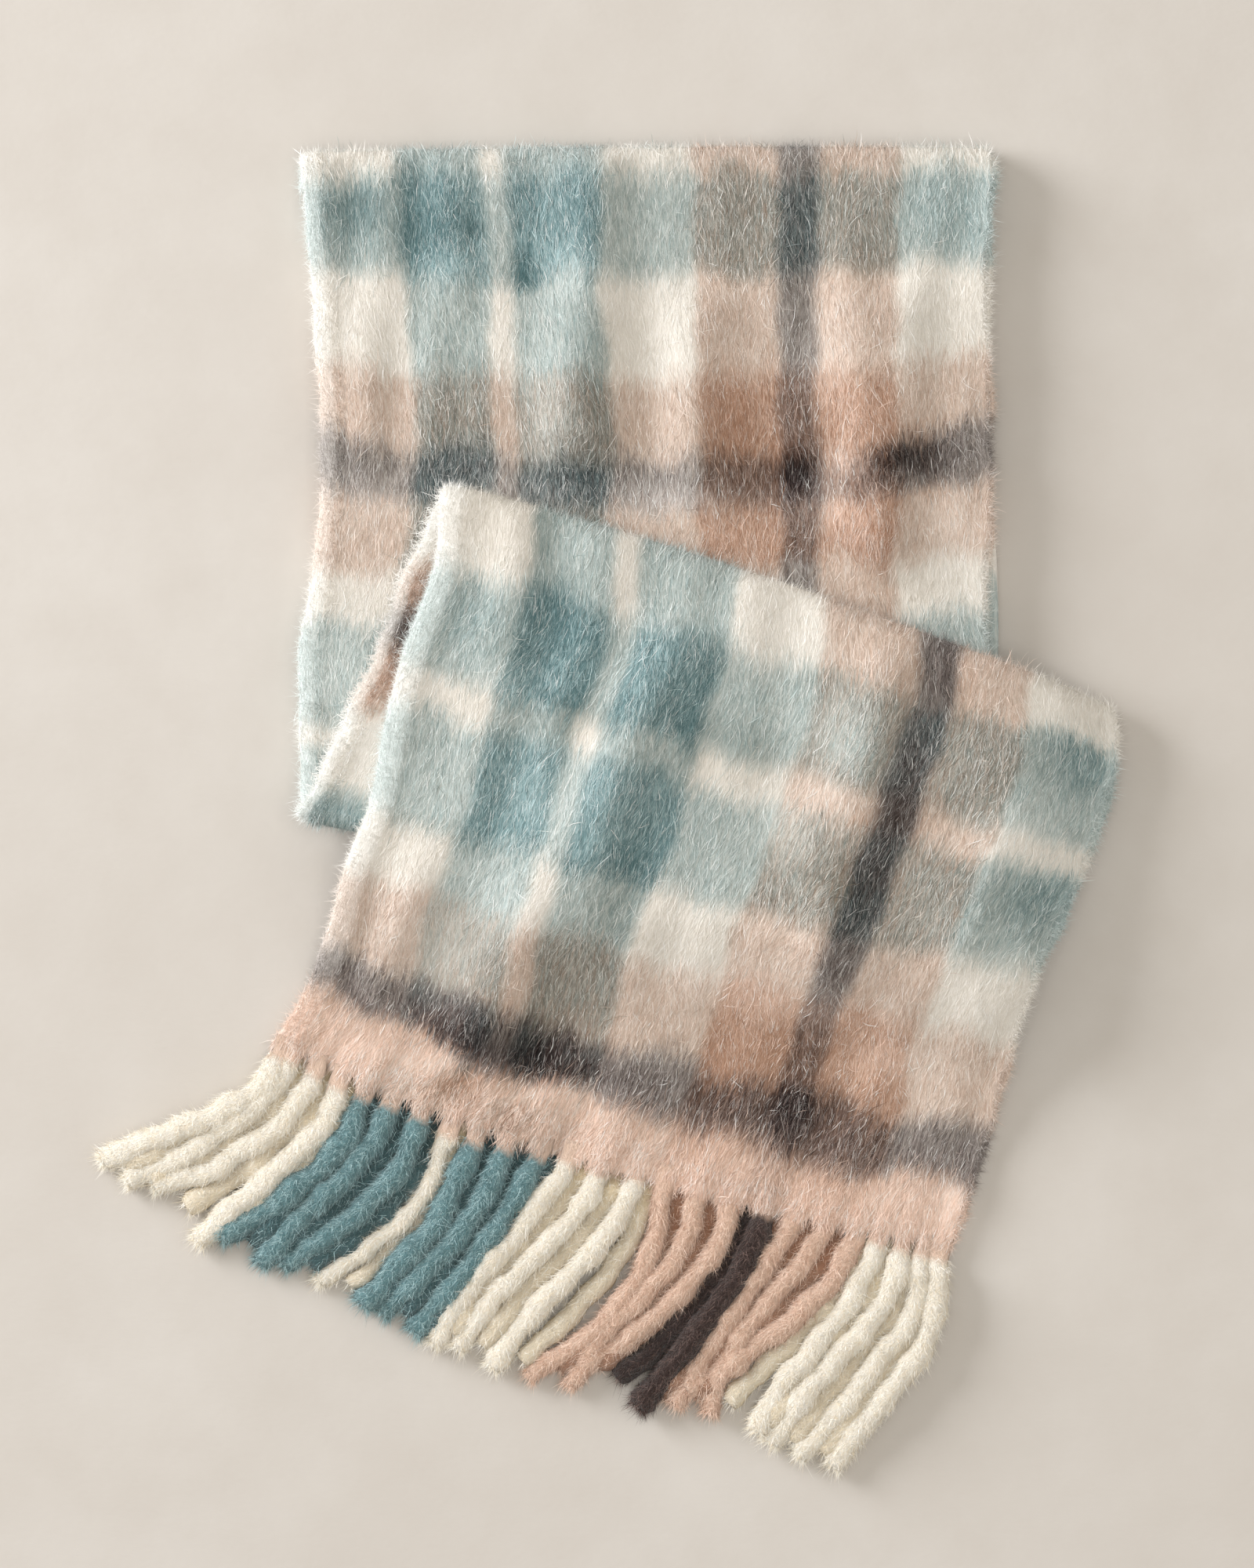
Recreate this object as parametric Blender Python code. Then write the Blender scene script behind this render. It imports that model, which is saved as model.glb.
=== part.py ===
"""Blanket scarf of brushed wool, doubled along its length and laid down in a loose Z.

The doubled cloth lies in hidden layers, turns over the top fold into the back stretch, turns again at the
bottom fold into the middle stretch, and once more at the upper fold into the front stretch, which drapes
down to the floor and ends in a hem with twisted fringe. +Z is up, and the scarf rests on Z = 0. Plan sizes
are millimetres, x along the folds and y away from the fringe.
"""

import collections
import math

import bpy
import numpy as np
from mathutils import Matrix

MM = 0.001
COLLECTION = "blanket_scarf"

# Cloth
PLY = 3.2  # one lofty ply
SLIT = 0.6  # between the two plies of the doubled cloth
DOUBLED = 2 * PLY + SLIT
GAP = 0.3  # between neighbouring pieces
EDGE_ROUNDING = 0.9  # at selvedges and hem
HEM_THINNING = 0.6  # of each ply at the hem
UNDER_PLY_LAP = 1.6  # the lower ply reaches this far past the upper one at the selvedge
CREASE_ANGLE = 50.0  # degrees, over which an edge is shaded sharp

# Stack
HIDDEN_HEIGHT = 9.6
LOWER_LIMB = 8.0  # of the top fold, on the floor
FOLD_ANGLES = (-90, -58, -28, 0, 28, 58, 90)  # degrees round each fold, from its lower limb to its upper
SECTION_PITCH = 11.0
FLAT_PITCH = 15.0  # on the back stretch, which drapes over no edge

# Drape off the edge of what lies below
FLAT_MARGIN = 9.0
BACK_DROPS = 44.0, 78.0  # lengths over which cloth falls from the back stretch: at its sides, at its bottom
MIDDLE_DROPS = 24.0, 54.0  # and from the middle stretch
DRAPE_CLEARANCE = 1.5  # extra room between the stretches where both hang over the edge
CLEARANCE_START = -16.0  # where that room begins, from the edge of the back stretch
CLEARANCE_RISE = 14.0

# Where the columns of a section lie, from the lengthwise fold (0) to the selvedges (1)
COLUMNS = (0.09, 0.21, 0.35, 0.49, 0.61, 0.71, 0.79, 0.85, 0.91, 0.96, 1.0)
FOLD_EDGE_ANGLES = (45, 0, -45)  # degrees round the lengthwise fold

# A row is one weft line across a stretch: its ends, and how far its middle sags below the line between them.
Row = collections.namedtuple("Row", "left_x left_y right_x right_y sag")
TOP_FOLD = Row(-135.2, 289.8, 169.1, 291.8, -1.4)
BOTTOM_FOLD = Row(-136.2, -4.9, 170.5, -63.4, 1.4)
UPPER_FOLD = Row(-72.1, 144.2, 224.6, 43.7, -5.5)
HEM = Row(-147.7, -103.3, 151.1, -194.1, 11.1)
TIP_LINE = Row(-222.5, -156.7, 97.7, -291.1, 13.2)

BACK_ROWS = (
    Row(-131.7, 238.1, 167.1, 243.3, 6.9),
    Row(-127.5, 194.8, 166.7, 200.0, 7.6),
    Row(-126.2, 165.3, 167.8, 168.8, 14.6),
    Row(-127.5, 141.1, 168.4, 146.3, 12.1),
    Row(-130.3, 105.4, 167.1, 115.1, 6.9),
    Row(-133.8, 82.1, 166.4, 87.3, 5.2),
    Row(-136.6, 37.1, 168.4, 26.7, 3.5),
)
MIDDLE_ROWS = (
    Row(-112.3, 45.8, 192.0, -26.3, 0.7),
    Row(-93.9, 90.8, 208.7, 9.7, 0.0),
)
FRONT_ROWS = (
    Row(-76.3, 110.9, 223.6, 24.3, 2.8),
    Row(-91.5, 63.1, 212.1, -18.4, 1.0),
    Row(-106.4, 0.7, 188.2, -73.1, 4.5),
    Row(-116.1, -26.3, 177.1, -105.0, 3.5),
    Row(-125.1, -60.0, 169.1, -140.4, 9.7),
    Row(-131.0, -76.3, 159.4, -166.4, 14.6),
)

# The hidden layers, as rows of their outline from the top fold down
HIDDEN_ROWS = (
    Row(-131.0, 238.0, 165.0, 243.0, 0.0),
    Row(-124.0, 165.0, 165.5, 168.0, 0.0),
    Row(-130.0, 105.0, 171.5, 112.0, 0.0),
    Row(-133.0, 60.0, 172.0, 62.0, 0.0),
    Row(-134.0, 25.0, 168.0, 15.0, 0.0),
)
HIDDEN_TOP_LEFT, HIDDEN_TOP_RIGHT = -133.0, 166.0
HIDDEN_BOTTOM_IN = 3.0  # of their bottom corners from the ends of the bottom fold
HIDDEN_LAP = 2.0  # beyond the bottom fold's line
HIDDEN_CORNER = 5.0
HIDDEN_SHARES = np.linspace(0.02, 0.98, 5)  # of the points across their top and bottom

# Their levels: height, how far the outline is drawn in, and whether this is above the top fold's limb
Level = collections.namedtuple("Level", "height inset above_limb")
HIDDEN_LEVELS = (
    Level(0.0, 1.4, False),
    Level(1.1, 0.0, False),
    Level(2.3, 0.0, False),
    Level(3.4, 2.2, False),
    Level(4.5, 0.2, False),
    Level(6.0, 0.2, False),
    Level(7.3, 2.4, False),
    Level(7.5, 2.2, True),
    Level(8.2, 0.8, True),
    Level(9.0, 0.8, True),
    Level(9.6, 2.2, True),
)

# Soft ridges in the upper ply, along the cloth: their ends, half width and height
Ridge = collections.namedtuple("Ridge", "start_x start_y end_x end_y half_width height")
BACK_RIDGES = (
    Ridge(-28.0, 262.0, -22.0, 160.0, 17.0, 2.2),
    Ridge(52.0, 250.0, 50.0, 150.0, 20.0, 1.8),
    Ridge(133.0, 175.0, 130.0, 85.0, 13.0, 2.4),
)
FRONT_RIDGES = (
    Ridge(-12.0, 96.0, -46.0, -28.0, 17.0, 2.2),
    Ridge(58.0, 62.0, 20.0, -62.0, 18.0, 2.0),
    Ridge(132.0, -34.0, 100.0, -150.0, 15.0, 2.8),
    Ridge(-88.0, -42.0, -112.0, -92.0, 11.0, 2.6),
    Ridge(-30.0, -78.0, -46.0, -132.0, 14.0, 2.2),
)
RIDGE_FADE = 26.0
COVERED_MARGIN = 14.0  # round the middle stretch, where the back stretch stays flat

# Fringe: each run has strands of one colour from both plies. Roots are shares of the hem and tips are
# shares of the tip line. Lean is the angle at which strands leave the hem, in degrees from straight down.
Run = collections.namedtuple("Run", "node colour strands root_first root_last tip_first tip_last lean")
FRINGE_RUNS = (
    Run("fringe_cream_left", "cream", 4, 0.012, 0.095, 0.005, 0.130, 27),
    Run("fringe_teal_left", "teal", 3, 0.130, 0.215, 0.165, 0.255, 26),
    Run("fringe_cream_single", "cream", 1, 0.257, 0.257, 0.298, 0.298, 25),
    Run("fringe_teal_right", "teal", 3, 0.297, 0.388, 0.345, 0.425, 25),
    Run("fringe_cream_middle", "cream", 3, 0.425, 0.530, 0.462, 0.535, 24),
    Run("fringe_peach_left", "peach", 3, 0.570, 0.672, 0.580, 0.660, 21),
    Run("fringe_charcoal", "charcoal", 1, 0.722, 0.722, 0.732, 0.732, 20),
    Run("fringe_peach_right", "peach", 3, 0.760, 0.853, 0.790, 0.865, 19),
    Run("fringe_cream_right", "cream", 4, 0.890, 0.975, 0.900, 0.995, 17),
)
BACKING_DEPTH = 2.0
END_MARGIN = 4.2  # of the backing beyond the first and last roots
ROOT_WIDTH, ROOT_HEIGHT = 4.6, 2.9
STRAND_WIDTH, STRAND_HEIGHT = 6.4, 6.0
TIP_NARROWING, TIP_FLATTENING = 0.72, 0.8  # of a strand's width and height at its tip
PLY_STEP = 1.0  # between the roots of the two plies
UPPER_SETTLE = 0.4  # share of that step by which the upper strands settle
FLOOR_CLEARANCE = 0.4
UNDER_LENGTH = 0.86  # of an upper strand's length
STRAND_STEPS = 8
SWELL_END = 0.16  # share of its length in which a strand grows from its root to its full size
DIP_START = 0.88  # share of its length from which an upper strand dips to the floor
BOW = 0.45  # how far along its lean a strand runs before it turns to its tip

# Colour and roughness of each material
MATERIALS = {
    "cream": ((0.83, 0.78, 0.68, 1.0), 0.95),
    "teal": ((0.20, 0.38, 0.42, 1.0), 0.95),
    "peach": ((0.70, 0.47, 0.36, 1.0), 0.95),
    "charcoal": ((0.07, 0.055, 0.06, 1.0), 0.95),
    "plaid": ((0.46, 0.50, 0.47, 1.0), 0.95),
}


def smoothstep(x):
    x = np.clip(x, 0.0, 1.0)
    return x * x * (3.0 - 2.0 * x)


# Rows


def row_ends(row):
    return np.array([row.left_x, row.left_y]), np.array([row.right_x, row.right_y])


def row_across(row):
    """Unit vector from the row's left end to its right end."""
    left, right = row_ends(row)
    return (right - left) / np.linalg.norm(right - left)


def row_up(row):
    """Unit vector in plan, square to the row, away from the hem."""
    across = row_across(row)
    return np.array([-across[1], across[0]])


def row_points(row, share):
    """Plan points of the row at these shares of its width."""
    left, right = row_ends(row)
    share = np.asarray(share, float)[:, None]
    return left + (right - left) * share - row_up(row) * row.sag * 4.0 * share * (1.0 - share)


def moved_row(row, distance):
    """The row moved this far away from the hem."""
    shift = row_up(row) * distance
    left, right = row_ends(row)
    return Row(*(left + shift), *(right + shift), row.sag)


def smooth_rows(rows, pitch):
    """Rows about a pitch apart, on a smooth curve through the rows of a table."""
    table = np.array(rows)
    steps = np.linalg.norm(np.diff(table[:, :2], axis=0), axis=1)
    steps += np.linalg.norm(np.diff(table[:, 2:4], axis=0), axis=1)
    station = np.concatenate([[0.0], np.cumsum(steps / 2.0)])
    slope = np.gradient(table, station, axis=0)
    count = max(2, math.ceil(station[-1] / pitch))
    found = []
    for at in np.linspace(0.0, station[-1], count + 1):
        k = min(np.searchsorted(station, at, side="right") - 1, len(rows) - 2)
        length = station[k + 1] - station[k]
        f = (at - station[k]) / length
        ahead = f * f * (3.0 - 2.0 * f)
        value = table[k] * (1.0 - ahead) + table[k + 1] * ahead
        value = value + length * (f * (1 - f) ** 2 * slope[k] - f * f * (1 - f) * slope[k + 1])
        found.append(Row(*value))
    return found


# Heights


def edge_distances(corners, points):
    """How far plan points lie outside each edge of an outline, whose corners run clockwise."""
    corners = np.array(corners)
    found = []
    for start, end in zip(corners, np.roll(corners, -1, axis=0), strict=True):
        along = (end - start) / np.linalg.norm(end - start)
        found.append((points - start) @ np.array([-along[1], along[0]]))
    return np.array(found)


def outside_back(points):
    """Distances outside the top, right, bottom and left edges of the back stretch."""
    return edge_distances((*row_ends(TOP_FOLD), *row_ends(BOTTOM_FOLD)[::-1]), points)


def outside_middle(points):
    """Distances outside the upper, right, bottom and left edges of the middle stretch."""
    return edge_distances((*row_ends(UPPER_FOLD), *row_ends(BOTTOM_FOLD)[::-1]), points)


def still_up(outside, side_drop, bottom_drop):
    """1 on what carries the cloth, falling to 0 where the cloth has reached the floor."""
    drops = (side_drop, side_drop, bottom_drop, side_drop)
    height = np.ones(outside.shape[1])
    for distance, drop in zip(outside, drops, strict=True):
        height *= 1.0 - smoothstep((distance - FLAT_MARGIN) / drop)
    return height


def drape_room(points):
    """Extra room between the middle and front stretches, past the edge of the back stretch."""
    outside = outside_back(points).max(axis=0)
    return DRAPE_CLEARANCE * smoothstep((outside - CLEARANCE_START) / CLEARANCE_RISE)


def back_underside(points):
    return np.full(len(points), HIDDEN_HEIGHT + GAP)


def middle_underside(points):
    height = HIDDEN_HEIGHT + GAP + DOUBLED + GAP
    return height * still_up(outside_back(points), *BACK_DROPS)


def front_underside(points):
    step = DOUBLED + GAP + drape_room(points)
    return middle_underside(points) + step * still_up(outside_middle(points), *MIDDLE_DROPS)


def ridge_lift(points, ridges):
    """Height that the soft ridges add to the upper ply."""
    lift = np.zeros(len(points))
    for ridge in ridges:
        start = np.array([ridge.start_x, ridge.start_y])
        run = np.array([ridge.end_x, ridge.end_y]) - start
        length = np.linalg.norm(run)
        along = (points - start) @ run / length
        aside = (points - start) @ np.array([-run[1], run[0]]) / length
        ends = smoothstep((along + RIDGE_FADE) / RIDGE_FADE)
        ends *= smoothstep((length + RIDGE_FADE - along) / RIDGE_FADE)
        lift += ridge.height * ends * np.exp(-((aside / ridge.half_width) ** 2))
    return lift


def back_lift(points):
    """The back stretch is flat where the middle stretch lies on it."""
    outside = outside_middle(points).max(axis=0)
    return ridge_lift(points, BACK_RIDGES) * smoothstep((outside - COVERED_MARGIN) / RIDGE_FADE)


def no_lift(points):
    return np.zeros(len(points))


def front_lift(points):
    return ridge_lift(points, FRONT_RIDGES)


# Sections of the doubled cloth. A ring point has a share of the row's width, a distance from there along the
# row, an offset from the middle of the doubled cloth, and 1 where it moves with the ridges.
RingPoint = collections.namedtuple("RingPoint", "share aside offset lifts")


def ring_points():
    """The doubled cloth's section: a closed hairpin with a slit that opens at the selvedges."""
    outer = DOUBLED / 2.0
    slit = SLIT / 2.0
    inward = COLUMNS[-2::-1]
    nose = slit + PLY / 2.0
    ring = [RingPoint(1.0, -EDGE_ROUNDING, outer, 1)]
    ring += [RingPoint(share, 0.0, outer, 1) for share in inward]
    for degrees in FOLD_EDGE_ANGLES:
        turn = math.radians(degrees)
        aside = outer * (1.0 - math.cos(turn))
        ring.append(RingPoint(0.0, aside, outer * math.sin(turn), 0))
    ring += [RingPoint(share, 0.0, -outer, 0) for share in inward[::-1]]
    ring.append(RingPoint(1.0, UNDER_PLY_LAP - EDGE_ROUNDING, -outer, 0))
    ring.append(RingPoint(1.0, UNDER_PLY_LAP, -nose, 0))
    ring.append(RingPoint(1.0, UNDER_PLY_LAP - EDGE_ROUNDING, -slit, 0))
    ring += [RingPoint(share, 0.0, -slit, 0) for share in inward]
    ring.append(RingPoint(0.0, PLY, 0.0, 0))
    ring += [RingPoint(share, 0.0, slit, 1) for share in inward[::-1]]
    ring.append(RingPoint(1.0, -EDGE_ROUNDING, slit, 1))
    ring.append(RingPoint(1.0, 0.0, nose, 1))
    return ring


RING = ring_points()
RING_SHARE = np.array([point.share for point in RING])
RING_ASIDE = np.array([point.aside for point in RING])
RING_OFFSET = np.array([point.offset for point in RING])
RING_LIFTS = np.array([point.lifts for point in RING])


def section_plan(row):
    """Plan points of a section's ring."""
    return row_points(row, RING_SHARE) + row_across(row) * RING_ASIDE[:, None]


def flat_section(row, underside, lift, thinning=1.0):
    """A section that lies flat or drapes. Thinning below 1 rounds off a hem."""
    plan = section_plan(row)
    middle = np.sign(RING_OFFSET) * (SLIT + PLY) / 2.0
    offset = middle + (RING_OFFSET - middle) * thinning
    height = underside(plan) + DOUBLED / 2.0 + offset + lift(plan) * RING_LIFTS
    return np.column_stack([plan, height])


def fold_section(row, degrees, underside, radius, outward):
    """A section part of the way round a fold, whose middle surface has this radius at each ring point."""
    plan = section_plan(row)
    turn = math.radians(degrees)
    reach = (radius + RING_OFFSET) * math.cos(turn)
    height = underside(plan) + DOUBLED / 2.0 - radius + (radius + RING_OFFSET) * math.sin(turn)
    return np.column_stack([plan + outward * reach[:, None], height])


def shifted(section, shift):
    """The section moved in plan, at its own height."""
    return section + np.array([*shift, 0.0])


def wall_faces(sections, shares):
    """Triangles between successive sections. Both sides of a ply are split along the same diagonals."""
    count = len(shares)
    faces = []
    for low in range(0, (sections - 1) * count, count):
        high = low + count
        for i in range(count):
            j = (i + 1) % count
            corners = (low + i, low + j, high + j, high + i)
            if shares[i] > shares[j]:
                corners = (*corners[1:], corners[0])
            faces.append((corners[0], corners[1], corners[2]))
            faces.append((corners[0], corners[2], corners[3]))
    return faces


def end_faces(first):
    """Faces that close a hairpin section, whose ring starts at this point."""
    run = len(COLUMNS)
    turn = len(FOLD_EDGE_ANGLES)
    lower = run + turn
    lower_end = lower + run - 1
    slit_lower_end = lower_end + 2
    slit_upper = slit_lower_end + run + 1
    nose = len(RING) - 1
    faces = [(nose - 1, nose, 0), (lower_end, lower_end + 1, slit_lower_end)]
    for k in range(run - 1):
        faces.append((k, k + 1, nose - 2 - k, nose - 1 - k))
        faces.append((lower_end - k, slit_lower_end + k, slit_lower_end + k + 1, lower_end - k - 1))
    faces.append((*range(run - 1, lower + 1), slit_upper - 2, slit_upper - 1, slit_upper))
    return [tuple(first + index for index in face) for face in faces]


def lofted_cloth(name, sections):
    """One closed piece of doubled cloth through its sections."""
    last = (len(sections) - 1) * len(RING)
    faces = wall_faces(len(sections), RING_SHARE)
    faces += [face[::-1] for face in end_faces(0)] + end_faces(last)
    return add_object(name, np.concatenate(sections) * MM, faces, "plaid")


def lofted_stack(name, loops, colour):
    """One closed object through level loops, with a flat face at both ends."""
    count = len(loops[0])
    faces = wall_faces(len(loops), [0] * count)
    last = (len(loops) - 1) * count
    faces += [tuple(range(count))[::-1], tuple(range(last, last + count))]
    return add_object(name, np.concatenate(loops) * MM, faces, colour)


def add_object(name, points, faces, colour):
    mesh = bpy.data.meshes.new(name)
    mesh.from_pydata([tuple(point) for point in points], [], faces)
    mesh.materials.append(material(colour))
    if signed_volume(mesh) < 0:
        mesh.flip_normals()
    mesh.shade_smooth()
    mesh.set_sharp_from_angle(angle=math.radians(CREASE_ANGLE))
    added = bpy.data.objects.new(name, mesh)
    bpy.data.collections[COLLECTION].objects.link(added)
    return added


def signed_volume(mesh):
    mesh.calc_loop_triangles()
    total = 0.0
    for triangle in mesh.loop_triangles:
        a, b, c = (mesh.vertices[index].co for index in triangle.vertices)
        total += a.dot(b.cross(c))
    return total


def material(colour):
    """The Principled material of this colour name, made once."""
    found = bpy.data.materials.get(colour)
    if found is None:
        base_colour, roughness = MATERIALS[colour]
        found = bpy.data.materials.new(colour)
        found.use_nodes = True
        found.diffuse_color = base_colour
        shader = found.node_tree.nodes["Principled BSDF"]
        shader.inputs["Base Color"].default_value = base_colour
        shader.inputs["Roughness"].default_value = roughness
        shader.inputs["Metallic"].default_value = 0.0
        shader.inputs["Sheen Weight"].default_value = 0.4
    return found


# Folds

FOLD_RADIUS = (DOUBLED + GAP) / 2.0
TOP_FOLD_RADIUS = (HIDDEN_HEIGHT + GAP) / 2.0
TOP_FOLD_LINE = moved_row(TOP_FOLD, -(TOP_FOLD_RADIUS + DOUBLED / 2.0))
BOTTOM_FOLD_LINE = moved_row(BOTTOM_FOLD, FOLD_RADIUS + DOUBLED / 2.0)
UPPER_FOLD_LINE = moved_row(UPPER_FOLD, -(FOLD_RADIUS + DOUBLED / 2.0))


def top_fold_radius(plan):
    return np.full(len(plan), TOP_FOLD_RADIUS)


def bottom_fold_radius(plan):
    return np.full(len(plan), FOLD_RADIUS)


def upper_fold_radius(plan):
    return FOLD_RADIUS + drape_room(plan) / 2.0


def fold_sections(line, outward, underside, radius_at):
    """Sections round a fold, from its lower limb up to where the stretch lies flat."""
    radius = radius_at(section_plan(line))
    return [fold_section(line, degrees, underside, radius, outward) for degrees in FOLD_ANGLES]


# Pieces


def hidden_loop(level):
    """The outline of the hidden layers at one level, clockwise from the top left."""
    limb = 0.0 if level.above_limb else LOWER_LIMB + GAP
    top = moved_row(TOP_FOLD_LINE, -limb - level.inset)
    top = top._replace(left_x=HIDDEN_TOP_LEFT, right_x=HIDDEN_TOP_RIGHT)
    bottom = moved_row(BOTTOM_FOLD_LINE, level.inset - HIDDEN_LAP)
    left_x, right_x = bottom.left_x + HIDDEN_BOTTOM_IN, bottom.right_x - HIDDEN_BOTTOM_IN
    bottom = bottom._replace(left_x=left_x, right_x=right_x)
    sides = (moved_row(top, -HIDDEN_CORNER), *HIDDEN_ROWS, moved_row(bottom, HIDDEN_CORNER))
    right = [(row.right_x - level.inset, row.right_y) for row in sides]
    left = [(row.left_x + level.inset, row.left_y) for row in sides[::-1]]
    across = row_points(top, HIDDEN_SHARES)
    back = row_points(bottom, HIDDEN_SHARES[::-1])
    plan = np.array([*across, *right, *back, *left])
    return np.column_stack([plan, np.full(len(plan), level.height)])


def hidden_layers():
    return lofted_stack("hidden_layers", [hidden_loop(level) for level in HIDDEN_LEVELS], "cream")


def back_stretch():
    up = row_up(TOP_FOLD_LINE)
    round_fold = fold_sections(TOP_FOLD_LINE, up, back_underside, top_fold_radius)
    limb = shifted(round_fold[0], -up * LOWER_LIMB)
    end = moved_row(BOTTOM_FOLD_LINE, GAP)
    rows = smooth_rows((TOP_FOLD_LINE, *BACK_ROWS, end), FLAT_PITCH)
    body = [flat_section(row, back_underside, back_lift) for row in rows[1:]]
    return lofted_cloth("back_stretch", [limb, *round_fold, *body])


def middle_stretch():
    down = -row_up(BOTTOM_FOLD_LINE)
    round_fold = fold_sections(BOTTOM_FOLD_LINE, down, middle_underside, bottom_fold_radius)
    end = moved_row(UPPER_FOLD_LINE, -GAP)
    rows = smooth_rows((BOTTOM_FOLD_LINE, *MIDDLE_ROWS, end), SECTION_PITCH)
    body = [flat_section(row, middle_underside, no_lift) for row in rows[1:]]
    return lofted_cloth("middle_stretch", [*round_fold, *body])


def front_stretch():
    up = row_up(UPPER_FOLD_LINE)
    round_fold = fold_sections(UPPER_FOLD_LINE, up, front_underside, upper_fold_radius)
    edge = moved_row(HEM, EDGE_ROUNDING)
    rows = smooth_rows((UPPER_FOLD_LINE, *FRONT_ROWS, edge), SECTION_PITCH)
    body = [flat_section(row, front_underside, front_lift) for row in rows[1:]]
    hem = flat_section(HEM, front_underside, front_lift, HEM_THINNING)
    return lofted_cloth("front_stretch", [*round_fold, *body, hem])


# Fringe

HEM_WIDTH = np.linalg.norm(np.subtract(*row_ends(HEM)))


def spread(first, last, count):
    return np.linspace(first, last, count) if count > 1 else np.array([first])


def strand_line(root, tip, lean, steps, length):
    """Plan points of a strand's centre: it leaves the hem at its lean and curves to its tip."""
    away = np.array([-math.sin(math.radians(lean)), -math.cos(math.radians(lean))])
    turn = root + away * BOW * np.linalg.norm(tip - root)
    t = np.linspace(0.0, length, steps + 1)[:, None]
    return root * (1 - t) ** 2 + turn * 2 * t * (1 - t) + tip * t * t


def strand_rings(root, tip, lean, is_upper):
    """Four-sided rings along a strand, after the one at its root."""
    length = 1.0 if is_upper else UNDER_LENGTH
    line = strand_line(root, tip, lean, STRAND_STEPS, length)
    along = np.gradient(line, axis=0)
    along /= np.linalg.norm(along, axis=1)[:, None]
    aside = np.column_stack([-along[:, 1], along[:, 0]])
    share = np.linspace(0.0, length, STRAND_STEPS + 1)
    swell = smoothstep(share / SWELL_END)
    width = ROOT_WIDTH + (STRAND_WIDTH - ROOT_WIDTH) * swell
    height = ROOT_HEIGHT + (STRAND_HEIGHT - ROOT_HEIGHT) * swell
    low = np.full(len(share), FLOOR_CLEARANCE)
    if is_upper:
        on_lower = height + PLY_STEP * (1.0 - UPPER_SETTLE * swell)
        low = low + on_lower * (1.0 - smoothstep((share - DIP_START) / (1.0 - DIP_START)))
    width[-1] *= TIP_NARROWING
    height[-1] *= TIP_FLATTENING
    rings = []
    for k in range(1, STRAND_STEPS + 1):
        half = aside[k] * width[k] / 2.0
        first, second = line[k] - half, line[k] + half
        top = low[k] + height[k]
        rings.append([(*first, low[k]), (*second, low[k]), (*second, top), (*first, top)])
    return rings


def midway(values):
    """Points midway between these, and one as far past the last."""
    values = np.array(values)
    return np.append((values[1:] + values[:-1]) / 2.0, values[-1] + (values[-1] - values[-2]) / 2.0)


def strand_table():
    """For each run, its strands: share of the hem, share of the tip line, and whether it is an upper one."""
    roots = np.concatenate([spread(run.root_first, run.root_last, run.strands) for run in FRINGE_RUNS])
    tips = np.concatenate([spread(run.tip_first, run.tip_last, run.strands) for run in FRINGE_RUNS])
    upper = zip(roots, tips, [True] * len(roots), strict=True)
    under = zip(midway(roots), midway(tips), [False] * len(roots), strict=True)
    both = [[strand, other] for strand, other in zip(upper, under, strict=True)]
    table = []
    start = 0
    for run in FRINGE_RUNS:
        pairs = both[start : start + run.strands]
        table.append(sorted(sum(pairs, [])))
        start += run.strands
    return table


def run_borders(table):
    """The shares of the hem where each run's backing starts and ends, half a gap short of its neighbours."""
    margin = END_MARGIN / HEM_WIDTH
    half_gap = GAP / 2.0 / HEM_WIDTH
    between = [(left[-1][0] + right[0][0]) / 2.0 for left, right in zip(table[:-1], table[1:], strict=True)]
    starts = [table[0][0][0] - margin, *[share + half_gap for share in between]]
    ends = [*[share - half_gap for share in between], table[-1][-1][0] + margin]
    return list(zip(starts, ends, strict=True))


def fringe(run, strands, borders):
    """One backing strip along the hem with the strands of both plies growing out of its front face."""
    half = ROOT_WIDTH / 2.0 / HEM_WIDTH
    edges = set(borders)
    for share, _, _ in strands:
        edges |= {share - half, share + half}
    columns = sorted(edges)
    upper_low = ROOT_HEIGHT + PLY_STEP
    levels = FLOOR_CLEARANCE + np.array([0.0, ROOT_HEIGHT, upper_low, upper_low + ROOT_HEIGHT])
    down = -row_up(HEM)
    back = row_points(HEM, columns) + down * GAP
    front = back + down * BACKING_DEPTH
    points = [(*plan, level) for plan in front for level in levels]
    points += [(*plan, levels[k]) for plan in back for k in (0, -1)]
    behind = len(columns) * len(levels)

    def at(column, level):
        return column * len(levels) + level

    bases = {}
    for share, tip, is_upper in strands:
        column = columns.index(share - half)
        bases[(column, 2 if is_upper else 0)] = (share, tip, is_upper)
    faces = []
    for column in range(len(columns) - 1):
        for level in range(len(levels) - 1):
            base = (
                at(column, level),
                at(column + 1, level),
                at(column + 1, level + 1),
                at(column, level + 1),
            )
            if (column, level) in bases:
                share, tip, is_upper = bases[(column, level)]
                root = row_points(HEM, [share])[0] + down * (GAP + BACKING_DEPTH)
                end = row_points(TIP_LINE, [tip])[0]
                faces += strand_faces(base, strand_rings(root, end, run.lean, is_upper), points)
            else:
                faces.append(base)
        low = behind + 2 * column
        faces.append((at(column, 0), low, low + 2, at(column + 1, 0)))
        faces.append((at(column, 3), at(column + 1, 3), low + 3, low + 1))
        faces.append((low, low + 1, low + 3, low + 2))
    last = len(columns) - 1
    faces.append((*[at(0, level) for level in range(4)], behind + 1, behind))
    faces.append((behind + 2 * last, behind + 2 * last + 1, *[at(last, level) for level in (3, 2, 1, 0)]))
    return add_object(run.node, np.array(points) * MM, faces, run.colour)


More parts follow.
